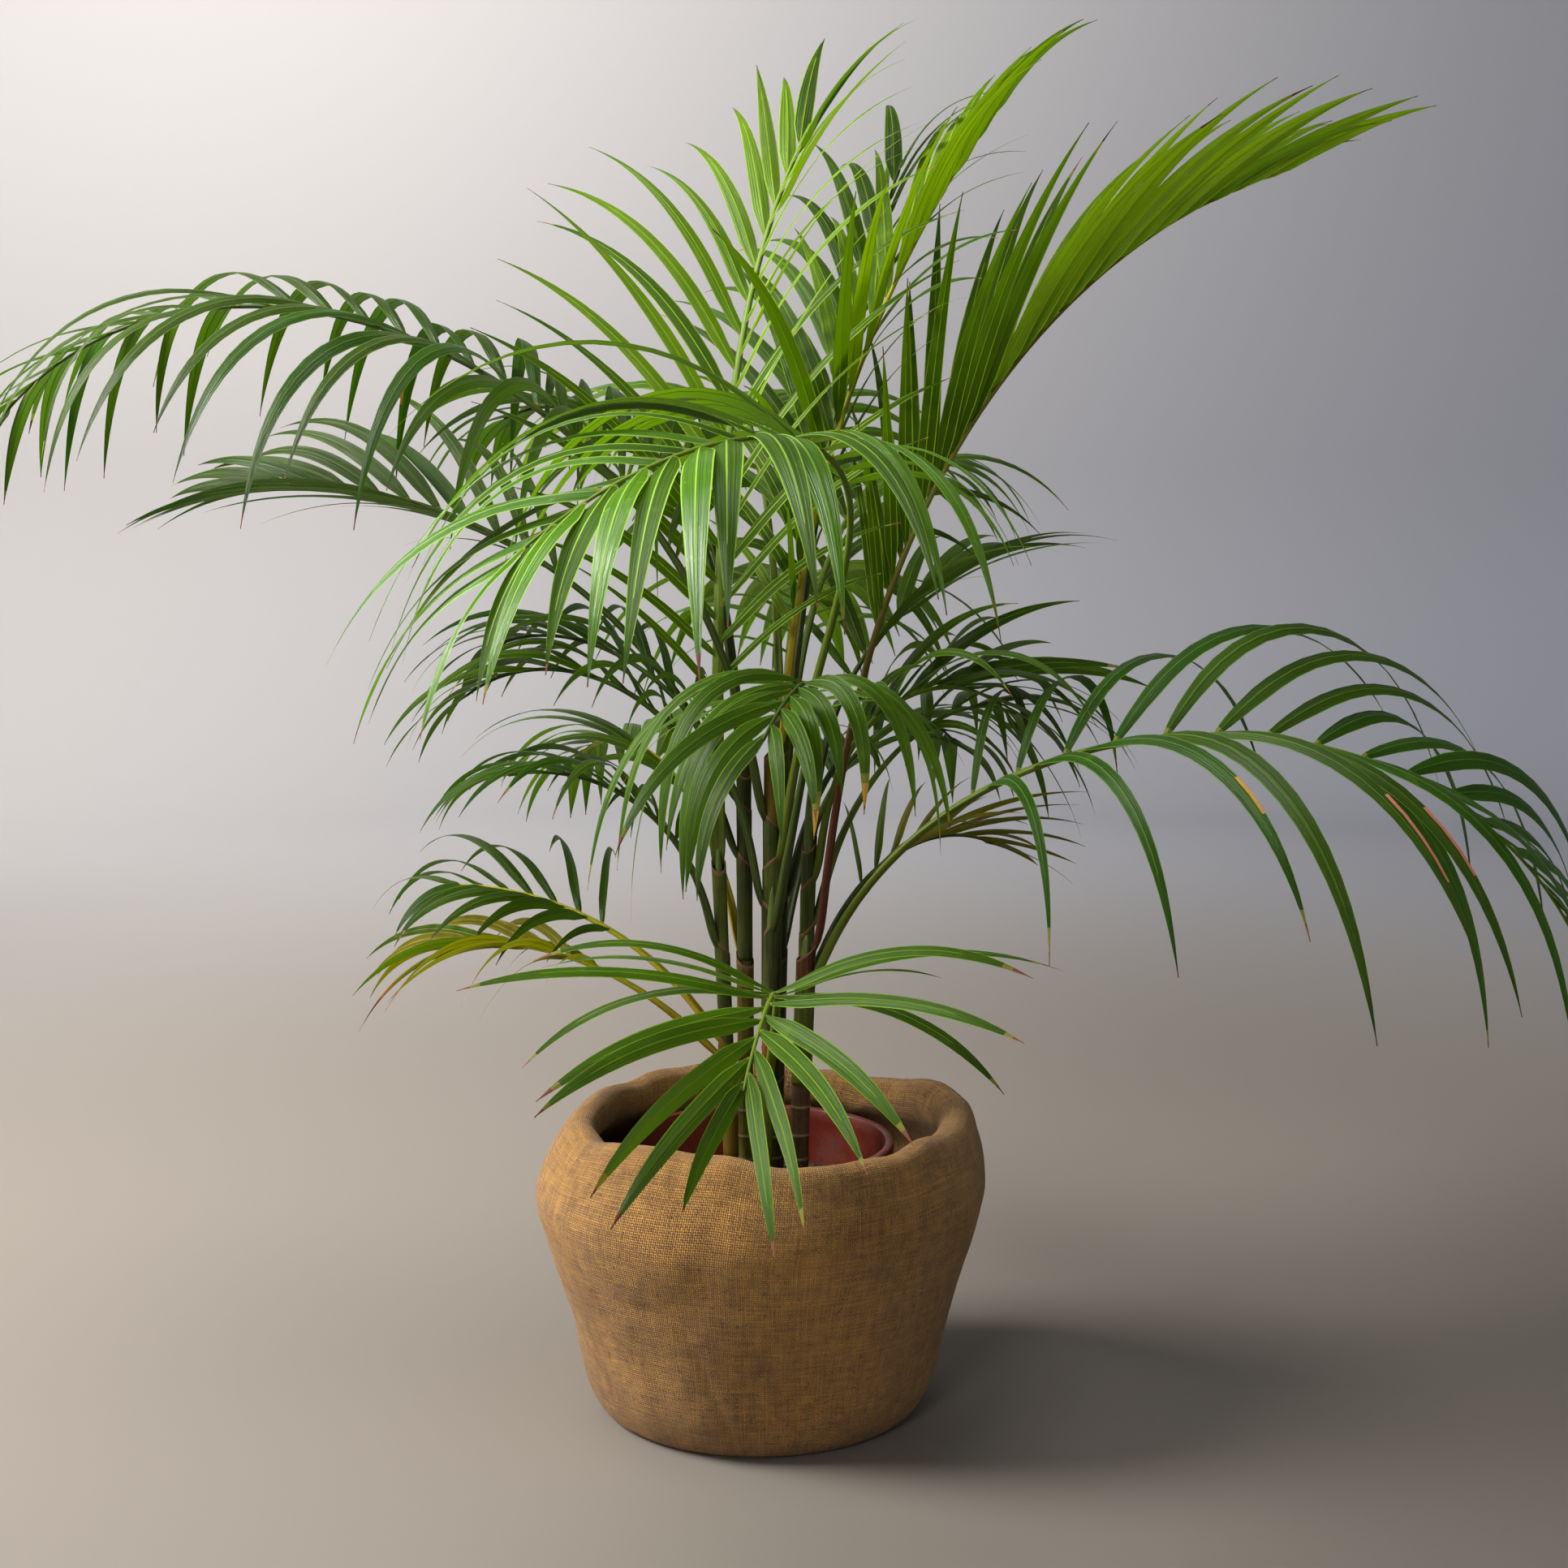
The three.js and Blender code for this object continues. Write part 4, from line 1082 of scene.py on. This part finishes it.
sheath_finishes = {}
for name, (deep, pale) in SHEATHS.items():
    skin = cane_skin(colour(*deep), colour(*pale), 0.3)
    sheath_finishes[name] = finish(f"sheath_{name}", skin, Specular_IOR_Level=0.25)
sheath_edge = finish("sheath_edge", dry_blade(colour(74, 48, 24), colour(120, 84, 46)))
for frond in FRONDS:
    foot = sheath_foot(frond)
    points = sheath_points(frond, foot, 0.0) + sheath_points(frond, foot, SHEATH_WALL)
    inside = (SHEATH_LEVELS + 1) * SHEATH_SIDES
    faces = tube_faces(SHEATH_LEVELS + 1, SHEATH_SIDES)
    for face in tube_faces(SHEATH_LEVELS + 1, SHEATH_SIDES, inward=True):
        faces.append(tuple(inside + n for n in face))
    tints = ([0] * (SHEATH_LEVELS - 1) * SHEATH_SIDES + [1] * SHEATH_SIDES) * 2
    top = SHEATH_LEVELS * SHEATH_SIDES
    for i in range(SHEATH_SIDES):
        j = (i + 1) % SHEATH_SIDES
        faces.append((top + i, top + j, inside + top + j, inside + top + i))
        faces.append((i, inside + i, inside + j, j))
        tints += [1, 0]
    skins = [sheath_finishes[frond["stalk"]], sheath_edge]
    sheath = solid(f"sheath_{frond['name']}", points, faces, skins, tints)
    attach(sheath, "root")


# Floor: a plain pale floor that rises into a round wall a long way off. It isn't part of
# the palm.

FLOOR_REACH, COVE, WALL_TOP = 4.2, 1.0, 6.0
COVE_STEPS, FLOOR_SIDES = 12, 96
floor_line = [(0.001, 0.0), (FLOOR_REACH, 0.0)]
for k in range(1, COVE_STEPS + 1):
    angle = math.pi / 2 * k / COVE_STEPS
    floor_line.append((FLOOR_REACH + COVE * math.sin(angle), COVE * (1 - math.cos(angle))))
floor_line.append((FLOOR_REACH + COVE, WALL_TOP))
floor_points = []
for radius, height in floor_line:
    for i in range(FLOOR_SIDES):
        angle = 2 * math.pi * i / FLOOR_SIDES
        floor_points.append((radius * math.cos(angle), radius * math.sin(angle), height))
floor_faces = tube_faces(len(floor_line), FLOOR_SIDES, inward=True)
floor_faces.append(list(range(FLOOR_SIDES)))


def pale_floor(place, weave):
    """Warm grey near the palm, paler on the wall, and both darker to the right with painted shade, the wall
    also darker lower down.
    """
    across = place.node("SeparateXYZ", {}, {0: place}, output="X")
    height = place.node("SeparateXYZ", {}, {0: place}, output="Z")
    reach = place.node("VectorMath", {"operation": "LENGTH"}, {0: place}, output="Value")
    # Painted shade: the wall and the floor darken to the right, and the wall darkens lower down, as if lit
    # from the upper left.
    right = (across * 0.7 - height * 0.35).step(-2.4, 1.6)
    wall = right.between(colour(212, 208, 206), colour(136, 138, 147))
    near = across.step(-1.6, 1.0).between(colour(148, 140, 132), colour(107, 101, 94))
    return {"Base Color": (reach * 0.25 + height * 0.3).step(0.3, 1.05).between(near, wall)}


floor = solid("floor", floor_points, floor_faces, [finish("pale_floor", pale_floor, Roughness=0.85)])


# Light: a large soft window high to the left, a soft light over the palm, a wash on the wall
# behind it to the left, a faint light from the front, a weak fill from the right, a pale sky.

def lamp(name, place, target, size, power, tint, spread=180):
    """A round soft light that shines from its place towards a target."""
    data = bpy.data.lights.new(name, "AREA")
    data.shape = "DISK"
    data.size = size
    data.energy = power
    data.color = tint
    data.spread = math.radians(spread)
    made = bpy.data.objects.new(name, data)
    made.location = place
    made.rotation_euler = (Vector(target) - Vector(place)).to_track_quat("-Z", "Y").to_euler()
    made.visible_camera = False
    bpy.context.scene.collection.objects.link(made)


lamp("window", (-2.7, -0.1, 2.4), (0, 0, 0.85), 1.6, 90, (1.0, 0.97, 0.92), 110)
lamp("overhead", (-0.7, -0.3, 3.4), (0, 0, 0.7), 1.6, 46, (1.0, 0.99, 0.97))
lamp("wall_wash", (-1.1, 1.6, 3.8), (-0.9, 4.9, 1.5), 1.8, 124, (1.0, 0.99, 0.97), 150)
lamp("front", (-1.2, -3.2, 2.1), (-0.1, -0.2, 1.0), 1.1, 3, (1.0, 0.99, 0.96), 34)
lamp("fill", (2.8, -2.0, 1.2), (0, 0, 0.6), 2.0, 9, (0.95, 0.97, 1.0))
world = bpy.data.worlds.new("sky")
world.use_nodes = True
world.node_tree.nodes["Background"].inputs["Color"].default_value = (1.0, 0.99, 0.97, 1.0)
world.node_tree.nodes["Background"].inputs["Strength"].default_value = 0.22
bpy.context.scene.world = world
bpy.context.scene.view_settings.view_transform = "Standard"


# Camera: a 50 mm lens, 1.9 m in front of the palm and a little above its middle, tilted
# slightly down.

CAMERA_TILT = 6.4
camera_data = bpy.data.cameras.new("camera")
camera_data.lens = 50
camera_data.sensor_width = 36
camera_data.clip_end = 50
camera = bpy.data.objects.new("camera", camera_data)
camera.location = (0.022, -1.900, 0.770)
camera.rotation_euler = (math.radians(90 - CAMERA_TILT), 0, 0)
bpy.context.scene.collection.objects.link(camera)
bpy.context.scene.camera = camera
